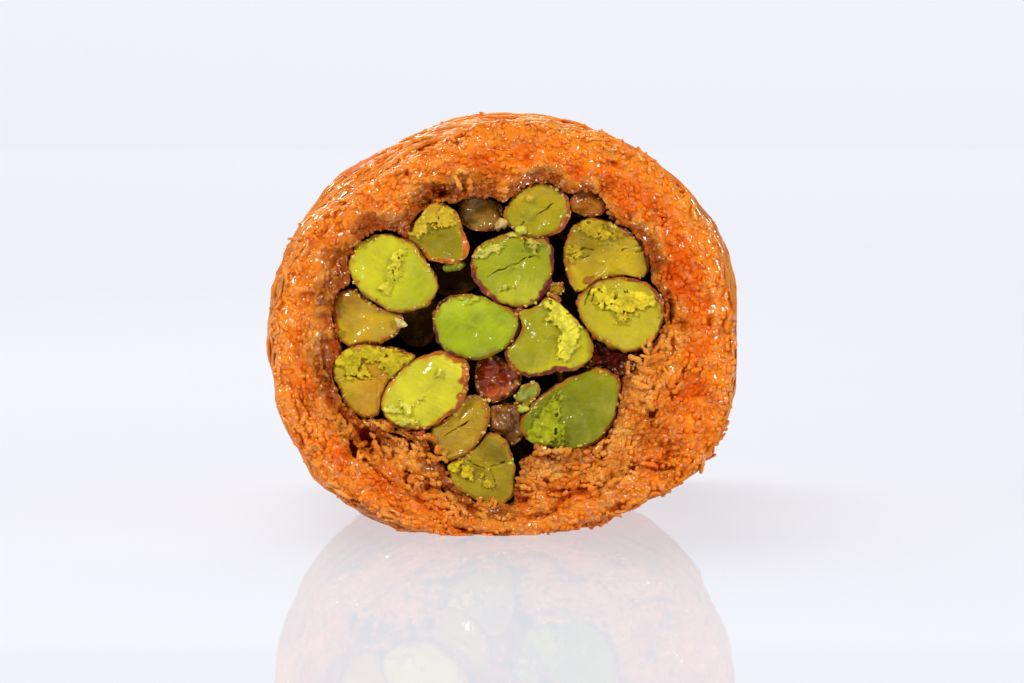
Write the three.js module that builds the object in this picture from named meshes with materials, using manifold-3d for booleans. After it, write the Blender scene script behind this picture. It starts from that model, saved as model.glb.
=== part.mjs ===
// Kataifi roll: a short length cut across a baked roll of shredded pastry. Fine strands are wound round and
// round a packed middle of whole pistachio kernels, and the knife has gone through both at each end.
// Millimetres, +Z up. The roll lies on its side with its axis along Y and its best cut face towards -Y.
// The origin is under the middle of the roll, on the surface that it rests on.
import * as THREE from "three";
import { mergeVertices } from "three/addons/utils/BufferGeometryUtils.js";
import Module from "manifold-3d";

const wasm = await Module();
wasm.setup();

// ---- Driving dimensions -----------------------------------------------------------------------
const ROLL_LENGTH = 48;
const AXIS_HEIGHT = 19.4; // the axis above the surface; the crust sags on to it and makes a flat strip
const AXIS_SIDE = 0.32; // the axis beside the origin, because the outline is lopsided
const STRAND = 0.8; // thickness of one shred of pastry
const GAP = 0.3; // left between pieces that touch
// Distance from the axis to the crust and to the filling, at twelve clock positions, anticlockwise from +X.
const CRUST_RADII = [21.5, 21.5, 20.4, 19.9, 19.8, 21.4, 22.2, 22.8, 21.6, 20, 20.6, 22.7];
const FILLING_RADII = [14.6, 14.2, 13.4, 12.2, 11.8, 14.0, 14.6, 14.8, 12.2, 14.0, 11.2, 12.4];

const FRONT = -ROLL_LENGTH / 2;
const BACK = ROLL_LENGTH / 2;
const MIDDLE_RADIUS = 21; // nominal crust radius, to which the turned profile is drawn
const TURN = 2 * Math.PI;

// ---- Helpers ----------------------------------------------------------------------------------

// A seeded draw from 0 to 1, so that every build lays the same strands.
function drawFrom(seed) {
  let state = seed;
  return () => {
    state = (state * 1664525 + 1013904223) % 4294967296;
    return state / 4294967296;
  };
}

// A smooth closed outline through radii at equal angles.
function roundThrough(radii, angle) {
  const count = radii.length;
  const place = ((((angle / TURN) % 1) + 1) % 1) * count;
  const step = Math.floor(place);
  const t = place - step;
  const [before, from, to, after] = [-1, 0, 1, 2].map((k) => radii[(step + k + count) % count]);
  const slopeFrom = (to - before) / 2;
  const slopeTo = (after - from) / 2;
  const bend = from * (2 * t ** 3 - 3 * t ** 2 + 1) + to * (3 * t ** 2 - 2 * t ** 3);
  return bend + slopeFrom * (t ** 3 - 2 * t ** 2 + t) + slopeTo * (t ** 3 - t ** 2);
}

// Uneven lumps from -1 to 1, periodic round the roll.
function lumps(angle, along) {
  return (
    0.5 * Math.sin(3 * angle + 0.31 * along) +
    0.3 * Math.sin(7 * angle - 0.53 * along + 1.3) +
    0.2 * Math.sin(11 * angle + 0.92 * along + 4.1)
  );
}

// Moves every vertex of a geometry by a function of its place.
function moved(geometry, move) {
  const places = geometry.getAttribute("position");
  const point = new THREE.Vector3();
  for (let i = 0; i < places.count; i += 1) {
    move(point.fromBufferAttribute(places, i));
    places.setXYZ(i, point.x, point.y, point.z);
  }
  return geometry;
}

// A closed geometry as a solid that can be joined and cut.
function solidOf(geometry) {
  const bare = new THREE.BufferGeometry();
  bare.setAttribute("position", geometry.getAttribute("position"));
  bare.setIndex(geometry.index);
  const welded = mergeVertices(bare, 1e-3);
  const corners = [];
  for (let i = 0; i < welded.index.count; i += 3) {
    const [a, b, c] = [0, 1, 2].map((k) => welded.index.getX(i + k));
    if (a !== b && b !== c && c !== a) corners.push(a, b, c);
  }
  const vertProperties = new Float32Array(welded.getAttribute("position").array);
  const triVerts = new Uint32Array(corners);
  return new wasm.Manifold(new wasm.Mesh({ numProp: 3, vertProperties, triVerts }));
}

function geometryOf(solid) {
  const { numProp, vertProperties, triVerts } = solid.getMesh();
  const geometry = new THREE.BufferGeometry();
  geometry.setAttribute("position", new THREE.BufferAttribute(new Float32Array(vertProperties), numProp));
  geometry.setIndex(new THREE.BufferAttribute(new Uint32Array(triVerts), 1));
  return geometry;
}

// The main body of a solid. A cut can leave loose scraps, or parts that hang on by less than the weld, and
// they are dropped. A join can seal a small hollow, whose inner skin comes apart as a body of its own here:
// without it the hollow is filled.
function mainBody(solid) {
  return solidOf(geometryOf(solid)).decompose().sort((a, b) => b.volume() - a.volume())[0];
}

// A solid as a named mesh.
function meshOf(name, solid, material) {
  const geometry = geometryOf(mainBody(solid));
  geometry.computeVertexNormals();
  const mesh = new THREE.Mesh(geometry, material);
  mesh.name = name;
  return mesh;
}

// A point at an angle and a distance from the roll's axis.
function aroundAxis(angle, distance, along) {
  return new THREE.Vector3(distance * Math.cos(angle), along, AXIS_HEIGHT + distance * Math.sin(angle));
}

// ---- Materials --------------------------------------------------------------------------------
const pastry = new THREE.MeshStandardMaterial({ color: 0xd9792b, roughness: 0.35, metalness: 0 });
const kernel = new THREE.MeshStandardMaterial({ color: 0xa9b02a, roughness: 0.45, metalness: 0 });
const skinnedKernel = new THREE.MeshStandardMaterial({ color: 0x7a2a14, roughness: 0.3, metalness: 0 });
const packedKernels = new THREE.MeshStandardMaterial({ color: 0x8a8a24, roughness: 0.5, metalness: 0 });

// ---- Pastry: a turned crust with winding ridges and two craggy cut faces ----------------------
const AROUND = 56; // sides of the crust
const WINDING_PITCH = 3.4; // a bundle of strands wound together
const WINDING_RELIEF = 0.32;
const LUMP_RELIEF = 0.4;
const WINDING_TILT = 1.6; // how far a winding leans along the axis, from side to side
const RIM = 1.9; // the knife has pressed the edges round
const BULGE = 0.5; // the roll is fuller in its middle than at its cuts
const FACE_RINGS = [0.52, 0.68, 0.79, 0.9];
const FACE_RELIEF = 0.45;
const RIM_STEPS = 3;

// Places where the cut face has torn open: angle, distance from the axis, width and depth.
const TEARS = [
  { angle: -2.42, distance: 16.6, width: 1.6, depth: 1.8 },
  { angle: -2.05, distance: 16.4, width: 1.5, depth: 1.7 },
  { angle: -0.62, distance: 19.4, width: 1.7, depth: 1.4 },
  { angle: -0.86, distance: 17.6, width: 1.6, depth: 1.2 },
  { angle: 2.04, distance: 13.6, width: 1.6, depth: 1.6 },
];

function tearDepth(angle, distance) {
  return TEARS.reduce((depth, tear) => {
    const across = distance * Math.cos(angle) - tear.distance * Math.cos(tear.angle);
    const up = distance * Math.sin(angle) - tear.distance * Math.sin(tear.angle);
    return depth + tear.depth * Math.exp(-(across ** 2 + up ** 2) / tear.width ** 2);
  }, 0);
}

// Half of the turned profile, from the axis out over one cut face and its rounded rim.
function faceProfile() {
  const faceEdge = MIDDLE_RADIUS - RIM;
  const points = [new THREE.Vector2(0, FRONT)];
  FACE_RINGS.forEach((share) => points.push(new THREE.Vector2(share * faceEdge, FRONT)));
  for (let k = 0; k <= RIM_STEPS; k += 1) {
    const turn = ((k / RIM_STEPS) * TURN) / 4;
    points.push(new THREE.Vector2(faceEdge + RIM * Math.sin(turn), FRONT + RIM * (1 - Math.cos(turn))));
  }
  return points;
}

function crustBody() {
  const front = faceProfile();
  const windings = [];
  const between = ROLL_LENGTH - 2 * RIM;
  const rows = Math.round((2 * between) / WINDING_PITCH);
  for (let k = 1; k < rows; k += 1) {
    windings.push(new THREE.Vector2(MIDDLE_RADIUS, FRONT + RIM + (k * between) / rows));
  }
  const back = front.map((p) => new THREE.Vector2(p.x, -p.y)).reverse();
  const turned = new THREE.LatheGeometry([...front, ...windings, ...back], AROUND);
  return solidOf(moved(turned, shapeCrust));
}

// Takes a point of the turned blank to its place on the crust.
function shapeCrust(point) {
  const distance = Math.hypot(point.x, point.z);
  const angle = Math.atan2(point.z, point.x);
  const share = distance / MIDDLE_RADIUS;
  const onSide = Math.min(1, (BACK - Math.abs(point.y)) / RIM); // 0 on a cut face, 1 past its rim
  const bulge = BULGE * (1 - (point.y / BACK) ** 2);
  const ridge = WINDING_RELIEF * Math.cos((TURN * point.y) / WINDING_PITCH);
  let along = point.y + onSide * WINDING_TILT * Math.sin(angle + 0.6) * (1 - (point.y / BACK) ** 4);
  if (onSide === 0) {
    const crag = FACE_RELIEF * lumps(5 * angle, 2.2 * distance) * Math.min(1, 3 * share);
    const tear = point.y < 0 ? tearDepth(angle, distance * 1.05) : 0;
    along += -Math.sign(point.y) * (FACE_RELIEF / 2 + crag / 2 + tear);
  }
  const relief = onSide * (ridge + LUMP_RELIEF * lumps(angle, point.y));
  const out = share * (roundThrough(CRUST_RADII, angle) - BULGE + bulge) + share * relief;
  point.copy(aroundAxis(angle, out, along));
  point.z = Math.max(0, point.z); // the underside has settled flat
}

// Cut ends of single strands that stand out of a face, each a short stub.
const STUB_SIDES = 4;
const STRAND_ENDS_FRONT = 46;
const STRAND_ENDS_BACK = 18;

function strandEnds(count, face, seed) {
  const draw = drawFrom(seed);
  const ends = [];
  for (let k = 0; k < count; k += 1) {
    const angle = (TURN * (k + draw())) / count;
    const inner = roundThrough(FILLING_RADII, angle) + 1.6;
    const outer = roundThrough(CRUST_RADII, angle) - RIM - 0.6;
    const distance = inner + (outer - inner) * ((k * 0.618) % 1);
    const length = STRAND * (2 + 1.5 * draw());
    const stub = new THREE.CylinderGeometry(STRAND * 0.5, STRAND * 0.6, length, STUB_SIDES);
    stub.rotateX((draw() - 0.5) * 1.6);
    stub.rotateZ((draw() - 0.5) * 1.6);
    if (face > 0) stub.rotateX(Math.PI);
    const middle = aroundAxis(angle, distance, face - Math.sign(face) * (0.35 * length));
    ends.push(solidOf(stub.translate(middle.x, middle.y, middle.z)));
  }
  return ends;
}

// Loose strands that lie on the crust, each wound part of the way round.
const LOOSE_STRANDS = 5;
const LOOSE_STEPS = 10;

function looseStrands() {
  const draw = drawFrom(71);
  const strands = [];
  for (let k = 0; k < LOOSE_STRANDS; k += 1) {
    const along = FRONT + ((k + 0.4 + 0.5 * draw()) * ROLL_LENGTH) / LOOSE_STRANDS;
    const start = -0.3 + 1.6 * draw();
    const sweep = 1.2 + 0.7 * draw();
    const lean = (draw() - 0.5) * 9;
    const path = [];
    for (let step = 0; step <= LOOSE_STEPS; step += 1) {
      const t = step / LOOSE_STEPS;
      const angle = start + sweep * t;
      const y = Math.min(BACK - 2.6, Math.max(FRONT + 2.6, along + lean * (t - 0.5)));
      const height = roundThrough(CRUST_RADII, angle) + LUMP_RELIEF * lumps(angle, y) + 0.12;
      path.push(aroundAxis(angle, height - 0.5 * Math.abs(2 * t - 1) ** 6, y));
    }
    const section = new THREE.Shape();
    section.absarc(0, 0, STRAND / 2, 0, TURN);
    const tube = new THREE.ExtrudeGeometry(section, {
      curveSegments: 2,
      steps: LOOSE_STEPS,
      bevelEnabled: false,
      extrudePath: new THREE.CatmullRomCurve3(path),
    });
    strands.push(solidOf(tube));
  }
  return strands;
}

// ---- Pistachio kernels ------------------------------------------------------------------------
// Each lies along the roll and is cut through. at places its cut from the roll's axis, across and up, half
// is its half sizes there, tilt turns the longer one from +X in degrees, corner makes it three-cornered by a
// share of its size, with one corner at so many degrees, and sunk is how far its cut lies behind the pastry's.
const KERNELS = [
  { name: "left_large", at: [-10.3, 5.2], half: [4.5, 3.3], tilt: -35, corner: [0.03, 90], sunk: 0.4 },
  { name: "upper_left", at: [-6.1, 8.8], half: [2.9, 2.7], tilt: -50, corner: [0.13, -40], sunk: 0.6 },
  { name: "top_right", at: [3.3, 11.1], half: [3.1, 2.5], tilt: 5, corner: [0.04, 200], sunk: 0.5 },
  { name: "top_centre", at: [1.1, 5.8], half: [4.0, 3.6], tilt: 18, corner: [0.08, -70], sunk: 0.3 },
  { name: "right_lower", at: [11.2, 1.6], half: [4.1, 3.4], tilt: -15, corner: [0.05, 160], sunk: 0.2 },
  { name: "right_upper", at: [9.5, 6.3], half: [4.3, 3.9], tilt: -50, corner: [0.05, -120], sunk: 0.5 },
  { name: "centre", at: [-2.7, 0.3], half: [4.2, 3.0], tilt: -6, corner: [0.06, -110], sunk: 0.4 },
  { name: "centre_right", at: [4.1, -0.9], half: [4.0, 3.7], tilt: -10, corner: [0.13, 100], sunk: 0.2 },
  { name: "left_lower", at: [-12.1, -4.5], half: [4.0, 3.3], tilt: 15, corner: [0.12, -100], sunk: 0.5 },
  { name: "left_sunken", at: [-13.0, 1.0], half: [3.4, 2.7], tilt: -20, corner: [0.08, 120], sunk: 1.0 },
  { name: "lower_left", at: [-7.2, -5.8], half: [4.6, 3.1], tilt: 36, corner: [0.03, 60], sunk: 0.2 },
  { name: "lower_right", at: [6.7, -7.8], half: [5.0, 3.3], tilt: 32, corner: [0.08, 60], sunk: 0.4 },
  { name: "low_sunken", at: [-4.2, -9.3], half: [3.6, 2.4], tilt: 50, corner: [0.03, 0], sunk: 1.1 },
  { name: "bottom", at: [-1.8, -13.2], half: [3.5, 3.1], tilt: -60, corner: [0.1, -60], sunk: 0.3 },
  { name: "top_sunken", at: [-2.0, 10.8], half: [2.4, 1.6], tilt: -10, corner: [0.04, 0], sunk: 2.2 },
  { name: "red_skin", at: [-0.7, -4.7], half: [2.3, 2.1], tilt: -60, corner: [0.08, 120], sunk: 1.8 },
  { name: "dark_skin", at: [10.4, -2.6], half: [3.0, 1.8], tilt: 10, corner: [0.05, 60], sunk: 2.0 },
  { name: "brown_skin", at: [0.4, -8.9], half: [2.2, 2.0], tilt: 20, corner: [0.06, 30], sunk: 1.5 },
  { name: "shard", at: [2.3, -6.3], half: [1.5, 1.1], tilt: 70, corner: [0.12, -80], sunk: 0.7 },
  { name: "chip", at: [4.7, 3.7], half: [1.1, 0.7], tilt: 20, corner: [0.05, 0], sunk: 0.8 },
  { name: "under_crust", at: [7.9, 11.8], half: [1.7, 1.2], tilt: -15, corner: [0.05, 90], sunk: 1.0 },
];
const KERNEL_SIDES = 12;
const KERNEL_ROUNDING = [1, 0.94, 0.72]; // width at equal steps back from the cut
const PLAIN_SIDES = 9; // kernels that are hardly seen
const PLAIN_ROUNDING = [1, 0.85];
const CUT_RING = 0.55; // a ring of points on the cut, so that it can be uneven
const CUT_RELIEF = 0.35;
const DEPTH_SHARE = 1.5; // how far a kernel reaches back from its cut, as a share of its longer half size

// A kernel as a turned blank, pressed to its outline. swell adds to it all round, for the room it needs.
function kernelSolid({ at, half, tilt, corner, sunk, plain }, swell = 0, cut = FRONT) {
  const inward = -Math.sign(cut);
  const depth = DEPTH_SHARE * half[0];
  const rounding = plain ? PLAIN_ROUNDING : KERNEL_ROUNDING;
  const profile = [new THREE.Vector2(0, 0)];
  if (!plain) profile.push(new THREE.Vector2(CUT_RING, 0));
  rounding.forEach((width, k) => profile.push(new THREE.Vector2(width, k / rounding.length)));
  profile.push(new THREE.Vector2(0, 1));
  const turnBy = THREE.MathUtils.degToRad(tilt);
  const cornerAt = THREE.MathUtils.degToRad(corner[1]);
  const blank = new THREE.LatheGeometry(profile, plain ? PLAIN_SIDES : KERNEL_SIDES);
  moved(blank, (point) => {
    const angle = Math.atan2(point.z, point.x);
    const share = Math.hypot(point.x, point.z);
    const shape = 1 + corner[0] * Math.cos(3 * (angle + turnBy - cornerAt));
    const across = share * (half[0] * shape + swell) * Math.cos(angle);
    const up = share * (half[1] * shape + swell) * Math.sin(angle);
    const uneven = CUT_RELIEF * Math.sin(2 * angle + 5 * at[0] + 4 * share) * Math.sqrt(share);
    const back = sunk + (point.y === 0 ? uneven - 4 * swell : point.y * (depth + swell));
    point.set(
      at[0] + across * Math.cos(turnBy) - up * Math.sin(turnBy),
      cut + inward * back,
      AXIS_HEIGHT + at[1] + across * Math.sin(turnBy) + up * Math.cos(turnBy),
    );
  });
  if (inward < 0) blank.index.array.reverse(); // drawn from the other end, its faces would point in
  return solidOf(blank);
}

// ---- The rest of the filling: a packed heap that runs through the roll to the far cut ---------
const HEAP_SUNK = 7.2; // the heap starts behind most of the kernels of the near face
const HEAP_BACK = 3.2; // and ends behind the cuts of the far ones
const HEAP_SIDES = 24;
const FAR_KERNELS = 13;
const FAR_SPREAD = 3.3; // spacing of the far kernels
const GOLDEN_ANGLE = 2.39996;

function fillingPrism(swell, from, to) {
  const outline = [];
  for (let k = 0; k < HEAP_SIDES; k += 1) {
    const angle = (TURN * k) / HEAP_SIDES;
    const reach = roundThrough(FILLING_RADII, angle) + swell;
    outline.push(new THREE.Vector2(reach * Math.cos(angle), reach * Math.sin(angle)));
  }
  const prism = new THREE.ExtrudeGeometry(new THREE.Shape(outline), { depth: to - from, bevelEnabled: false });
  prism.rotateX(Math.PI / 2).translate(0, to, AXIS_HEIGHT);
  return solidOf(prism);
}

// The kernels of the far face, spread as seeds in a flower head.
function farKernels() {
  const draw = drawFrom(29);
  return Array.from({ length: FAR_KERNELS }, (_, k) => {
    const distance = FAR_SPREAD * Math.sqrt(k + 0.4);
    const angle = k * GOLDEN_ANGLE;
    return {
      at: [distance * Math.cos(angle), 0.95 * distance * Math.sin(angle)],
      half: [3.2 + 0.7 * draw(), 2.5 + 0.5 * draw()],
      tilt: 180 * draw(),
      corner: [0.1 * draw(), 360 * draw()],
      sunk: 0.3 + 0.5 * draw(),
      plain: true,
    };
  });
}

// Kernels that lie deeper, seen only as dark shapes in the gaps of the near face.
const DEEP_KERNELS = [
  { at: [-4.6, 4.9], half: [2.4, 2.0], tilt: 10, corner: [0.05, 0], sunk: 4.2, plain: true },
  { at: [-8.0, 0.7], half: [2.6, 2.1], tilt: 60, corner: [0.05, 40], sunk: 4.5, plain: true },
  { at: [6.6, 3.0], half: [2.4, 2.0], tilt: 90, corner: [0.05, 80], sunk: 4.6, plain: true },
];

// ---- Putting the roll together ----------------------------------------------------------------
const union = (solids) => wasm.Manifold.union(solids);

// A kernel that lies against others gives way to those made before it.
const kernels = [];
const rooms = [];
KERNELS.forEach((size) => {
  const room = kernelSolid(size, GAP);
  const whole = kernelSolid(size);
  kernels.push({ ...size, solid: rooms.length ? whole.subtract(union(rooms)) : whole });
  rooms.push(room);
});

const far = farKernels();
const heapParts = [
  fillingPrism(-GAP, FRONT + HEAP_SUNK, BACK - HEAP_BACK),
  ...DEEP_KERNELS.map((size) => kernelSolid(size)),
  ...far.map((size) => kernelSolid(size, 0, BACK)),
];
const heap = union(heapParts).intersect(fillingPrism(-GAP, FRONT - 1, BACK + 1)).subtract(union(rooms));

const cavity = union([fillingPrism(0, FRONT - 2, BACK + 2), ...rooms]);
const crustParts = [
  crustBody(),
  ...looseStrands(),
  ...strandEnds(STRAND_ENDS_FRONT, FRONT, 5),
  ...strandEnds(STRAND_ENDS_BACK, BACK, 17),
];
const shell = union(crustParts).subtract(cavity);

const roll = new THREE.Group();
roll.add(meshOf("kataifi_pastry", shell, pastry));
roll.add(meshOf("pistachio_filling", heap, packedKernels));
kernels.forEach(({ name, solid }) => {
  roll.add(meshOf(`kernel_${name}`, solid, name.endsWith("skin") ? skinnedKernel : kernel));
});
roll.position.x = AXIS_SIDE;

export default roll;
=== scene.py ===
# Kataifi roll: shredded pastry wound round whole pistachio kernels, baked, soaked in syrup and cut across.
# Sizes are in millimetres and are written to the meshes in metres. The roll lies along Y, cut towards -Y.
import math

import bmesh
import bpy
import numpy as np
from mathutils import Matrix, Vector


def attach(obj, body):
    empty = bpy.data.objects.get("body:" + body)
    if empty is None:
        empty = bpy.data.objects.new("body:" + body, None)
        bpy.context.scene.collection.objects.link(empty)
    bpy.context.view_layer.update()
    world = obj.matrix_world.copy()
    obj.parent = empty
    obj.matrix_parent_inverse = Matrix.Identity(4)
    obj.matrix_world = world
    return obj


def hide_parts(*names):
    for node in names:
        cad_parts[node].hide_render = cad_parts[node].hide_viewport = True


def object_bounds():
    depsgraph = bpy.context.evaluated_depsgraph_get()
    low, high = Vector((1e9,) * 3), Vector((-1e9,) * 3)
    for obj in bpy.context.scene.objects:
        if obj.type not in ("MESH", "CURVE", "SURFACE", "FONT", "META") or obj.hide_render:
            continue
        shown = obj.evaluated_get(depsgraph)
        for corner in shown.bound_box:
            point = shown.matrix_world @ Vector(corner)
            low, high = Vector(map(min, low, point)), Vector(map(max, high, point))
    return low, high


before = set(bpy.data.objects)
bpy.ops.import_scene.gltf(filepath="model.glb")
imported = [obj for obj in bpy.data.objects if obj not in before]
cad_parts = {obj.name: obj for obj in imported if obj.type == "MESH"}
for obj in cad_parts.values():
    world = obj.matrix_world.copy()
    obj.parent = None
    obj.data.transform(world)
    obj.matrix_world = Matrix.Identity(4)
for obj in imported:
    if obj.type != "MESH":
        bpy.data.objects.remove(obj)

cad_low, cad_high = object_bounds()

# ---- Camera and studio ------------------------------------------------------------------------
# The best cut is seen straight on and from just above, through a long lens. The roll lies on a polished
# pale table that runs up into a pale sweep behind it, under one large soft lamp and two small bright ones.
CAMERA_PLACE = (0.00116, -0.290, 0.036)
CAMERA_PITCH = 3.8  # degrees below the horizon
TABLE_MIRROR = 0.19  # share of the light that the polish throws back as a mirror does

scene = bpy.context.scene
camera_lens = bpy.data.cameras.new("camera")
camera_lens.lens = 100
camera_lens.sensor_width = 36
camera_lens.clip_start = 0.01
camera = bpy.data.objects.new("camera", camera_lens)
camera.location = CAMERA_PLACE
camera.rotation_euler = (math.radians(90 - CAMERA_PITCH), 0, 0)
scene.collection.objects.link(camera)
scene.camera = camera
scene.view_settings.view_transform = "Standard"


def paint(red, green, blue):
    """A colour as a screen shows it, as the numbers that a shader takes."""
    shares = np.array([red, green, blue]) / 255
    light = np.where(shares <= 0.04045, shares / 12.92, ((shares + 0.055) / 1.055) ** 2.4)
    return (*light.tolist(), 1)


class Wire:
    """A socket of a node, with sums written as in Python. node() adds any other node beside it."""

    def __init__(self, tree, socket=None):
        self.tree = tree
        self.socket = socket

    def node(self, kind, settings=None, values=None, output=0):
        """Adds a node, with its settings and what its inputs take, and gives the wire of one output."""
        made = self.tree.nodes.new(kind)
        for name, value in (settings or {}).items():
            if name == "stops":
                ramp = made.color_ramp.elements
                while len(ramp) < len(value):
                    ramp.new(0.5)
                for stop, (place, colour) in zip(ramp, value):
                    stop.position, stop.color = place, colour
            else:
                setattr(made, name, value)
        for name, value in (values or {}).items():
            if isinstance(value, Wire):
                self.tree.links.new(value.socket, made.inputs[name])
            else:
                made.inputs[name].default_value = value
        return Wire(self.tree, made.outputs[output])

    def sum(self, operation, first, side_colour_and_light):
        """Adds a sum of two wires or numbers."""
        return self.node("ShaderNodeMath", {"operation": operation}, {0: first, 1: side_colour_and_light})

    def __add__(self, other):
        return self.sum("ADD", self, other)

    def __radd__(self, other):
        return self.sum("ADD", other, self)

    def __sub__(self, other):
        return self.sum("SUBTRACT", self, other)

    def __rsub__(self, other):
        return self.sum("SUBTRACT", other, self)

    def __mul__(self, other):
        return self.sum("MULTIPLY", self, other)

    def __rmul__(self, other):
        return self.sum("MULTIPLY", other, self)

    def mixed(self, share, other, blend="MIX"):
        """This colour with a share of another one."""
        settings = {"data_type": "RGBA", "blend_type": blend}
        return self.node("ShaderNodeMix", settings, {0: share, 6: self, 7: other}, output=2)

    def held(self):
        """The value kept from 0 to 1."""
        return self.node("ShaderNodeClamp", {}, {"Value": self})

    def into(self, node, name):
        """Feeds this into an input of a node."""
        self.tree.links.new(self.socket, node.inputs[name])


def set_on(shader, values):
    """Sets the uniform values of a shader."""
    for name, value in values.items():
        shader.inputs[name].default_value = value


def finish_of(name, values):
    """A new material, its shader with uniform values set, and the wire that adds nodes to it."""
    material = bpy.data.materials.new(name)
    material.use_nodes = True
    shader = material.node_tree.nodes["Principled BSDF"]
    set_on(shader, values)
    return material, shader, Wire(material.node_tree)


def soft_lamp(name, place, aim, size, glow):
    """An area lamp that shines from a place at another. glow is how bright its face looks."""
    lamp = bpy.data.lights.new(name, "AREA")
    lamp.shape = "RECTANGLE"
    lamp.size, lamp.size_y = size
    lamp.energy = glow * math.pi * size[0] * size[1]
    holder = bpy.data.objects.new(name, lamp)
    holder.location = place
    holder.rotation_euler = (Vector(aim) - Vector(place)).to_track_quat("-Z", "Y").to_euler()
    scene.collection.objects.link(holder)
    return holder


soft_lamp("lamp_overhead", (-0.10, 0.16, 0.36), (0, 0, 0.01), (0.36, 0.26), 3.8)
small_lamps = [
    soft_lamp("lamp_left", (-0.28, -0.36, 0.28), (0, 0, 0.02), (0.1, 0.1), 61),
    soft_lamp("lamp_right", (0.34, -0.32, 0.20), (0, 0, 0.02), (0.1, 0.1), 47),
]

scene.world = bpy.data.worlds.new("studio")
scene.world.use_nodes = True
set_on(scene.world.node_tree.nodes["Background"], {"Color": (0.93, 0.95, 1, 1), "Strength": 0.13})

TABLE_START = -0.7  # along the table and up the sweep, from the roll
TABLE_END = 2.1
TABLE_HALF_WIDTH = 2.2
SWEEP_REACH = 0.45  # the table's length behind the roll, before it bends up
SWEEP_BEND = 0.5
sweep_shape = bmesh.new()
bmesh.ops.create_grid(sweep_shape, x_segments=1, y_segments=60, size=1)
for vert in sweep_shape.verts:
    run = TABLE_START + (vert.co.y + 1) / 2 * (TABLE_END - TABLE_START)
    bend = min(max((run - SWEEP_REACH) / SWEEP_BEND, 0), math.pi / 2)
    rise = max(0, run - SWEEP_REACH - SWEEP_BEND * math.pi / 2)
    level = min(run, SWEEP_REACH)
    vert.co = (
        TABLE_HALF_WIDTH * vert.co.x,
        level + SWEEP_BEND * math.sin(bend),
        SWEEP_BEND * (1 - math.cos(bend)) + rise,
    )
sweep_mesh = bpy.data.meshes.new("table_sweep")
sweep_shape.to_mesh(sweep_mesh)
sweep_shape.free()
sweep_mesh.shade_smooth()
sweep = bpy.data.objects.new("table_sweep", sweep_mesh)
scene.collection.objects.link(sweep)
table_finish, table_shader, table_wire = finish_of("polished_table", {
    "Base Color": (0.34, 0.345, 0.36, 1), "Roughness": 0.6, "Specular IOR Level": 0, "Emission Strength": 1,
})
# The backdrop is lit evenly: its own glow at places along the table, from in front of the roll to the wall.
TABLE_GLOW = [
    (-0.1, 0.75), (-0.03, 0.7), (0.003, 0.65), (0.1, 0.635), (0.16, 0.63), (0.255, 0.655), (0.4, 0.72),
    (0.52, 0.75), (0.57, 0.765), (0.645, 0.805), (0.724, 0.84), (0.95, 1.05),
]
glow_start, glow_end = TABLE_GLOW[0][0], TABLE_GLOW[-1][0]
table_place = table_wire.node("ShaderNodeTexCoord", output="Object")
table_run = table_wire.node("ShaderNodeSeparateXYZ", {}, {0: table_place}, output=1)
table_glow = table_wire.node("ShaderNodeValToRGB", {"stops": [
    ((run - glow_start) / (glow_end - glow_start), (0.93 * glow, 0.94 * glow, glow, 1))
    for run, glow in TABLE_GLOW
]}, {"Fac": (table_run - glow_start) * (1 / (glow_end - glow_start))})
table_glow.into(table_shader, "Emission Color")
mirror = table_wire.node("ShaderNodeBsdfGlossy", {}, {"Roughness": 0.03, "Color": (1, 1, 1, 1)})
plain = Wire(table_finish.node_tree, table_shader.outputs[0])
polish = table_wire.node("ShaderNodeMixShader", {}, {0: TABLE_MIRROR, 1: plain, 2: mirror})
polish.into(table_finish.node_tree.nodes["Material Output"], "Surface")
sweep_mesh.materials.append(table_finish)
# The small lamps leave the table alone, so that their glare and hard shadows don't show on it.
not_lit = bpy.data.collections.new("not_lit_by_small_lamps")
not_lit.objects.link(sweep)
not_lit.collection_objects[0].light_linking.link_state = "EXCLUDE"
for lamp in small_lamps:
    lamp.light_linking.receiver_collection = not_lit

# ---- Pistachio kernels of the near cut ----------------------------------------------------------
# Each kernel lies along the roll and the knife has gone through it: smooth flesh where it was clean, raised
# torn flesh where it was not, and round the edge the thin dark skin that the rest of the kernel wears.
AXIS_SIDE = 0.32  # the roll's axis beside the origin, and above the table
AXIS_HEIGHT = 19.4
ROLL_LENGTH = 48
FRONT = -ROLL_LENGTH / 2
BACK = ROLL_LENGTH / 2
GAP = 0.3  # left between pieces that touch
TURN = 2 * math.pi
MM = 0.001  # metres in a millimetre
DEPTH_SHARE = 1.5  # how far a kernel reaches back from its cut, as a share of its longer half size
CUT_RELIEF = 0.35  # how uneven a cut is
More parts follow.
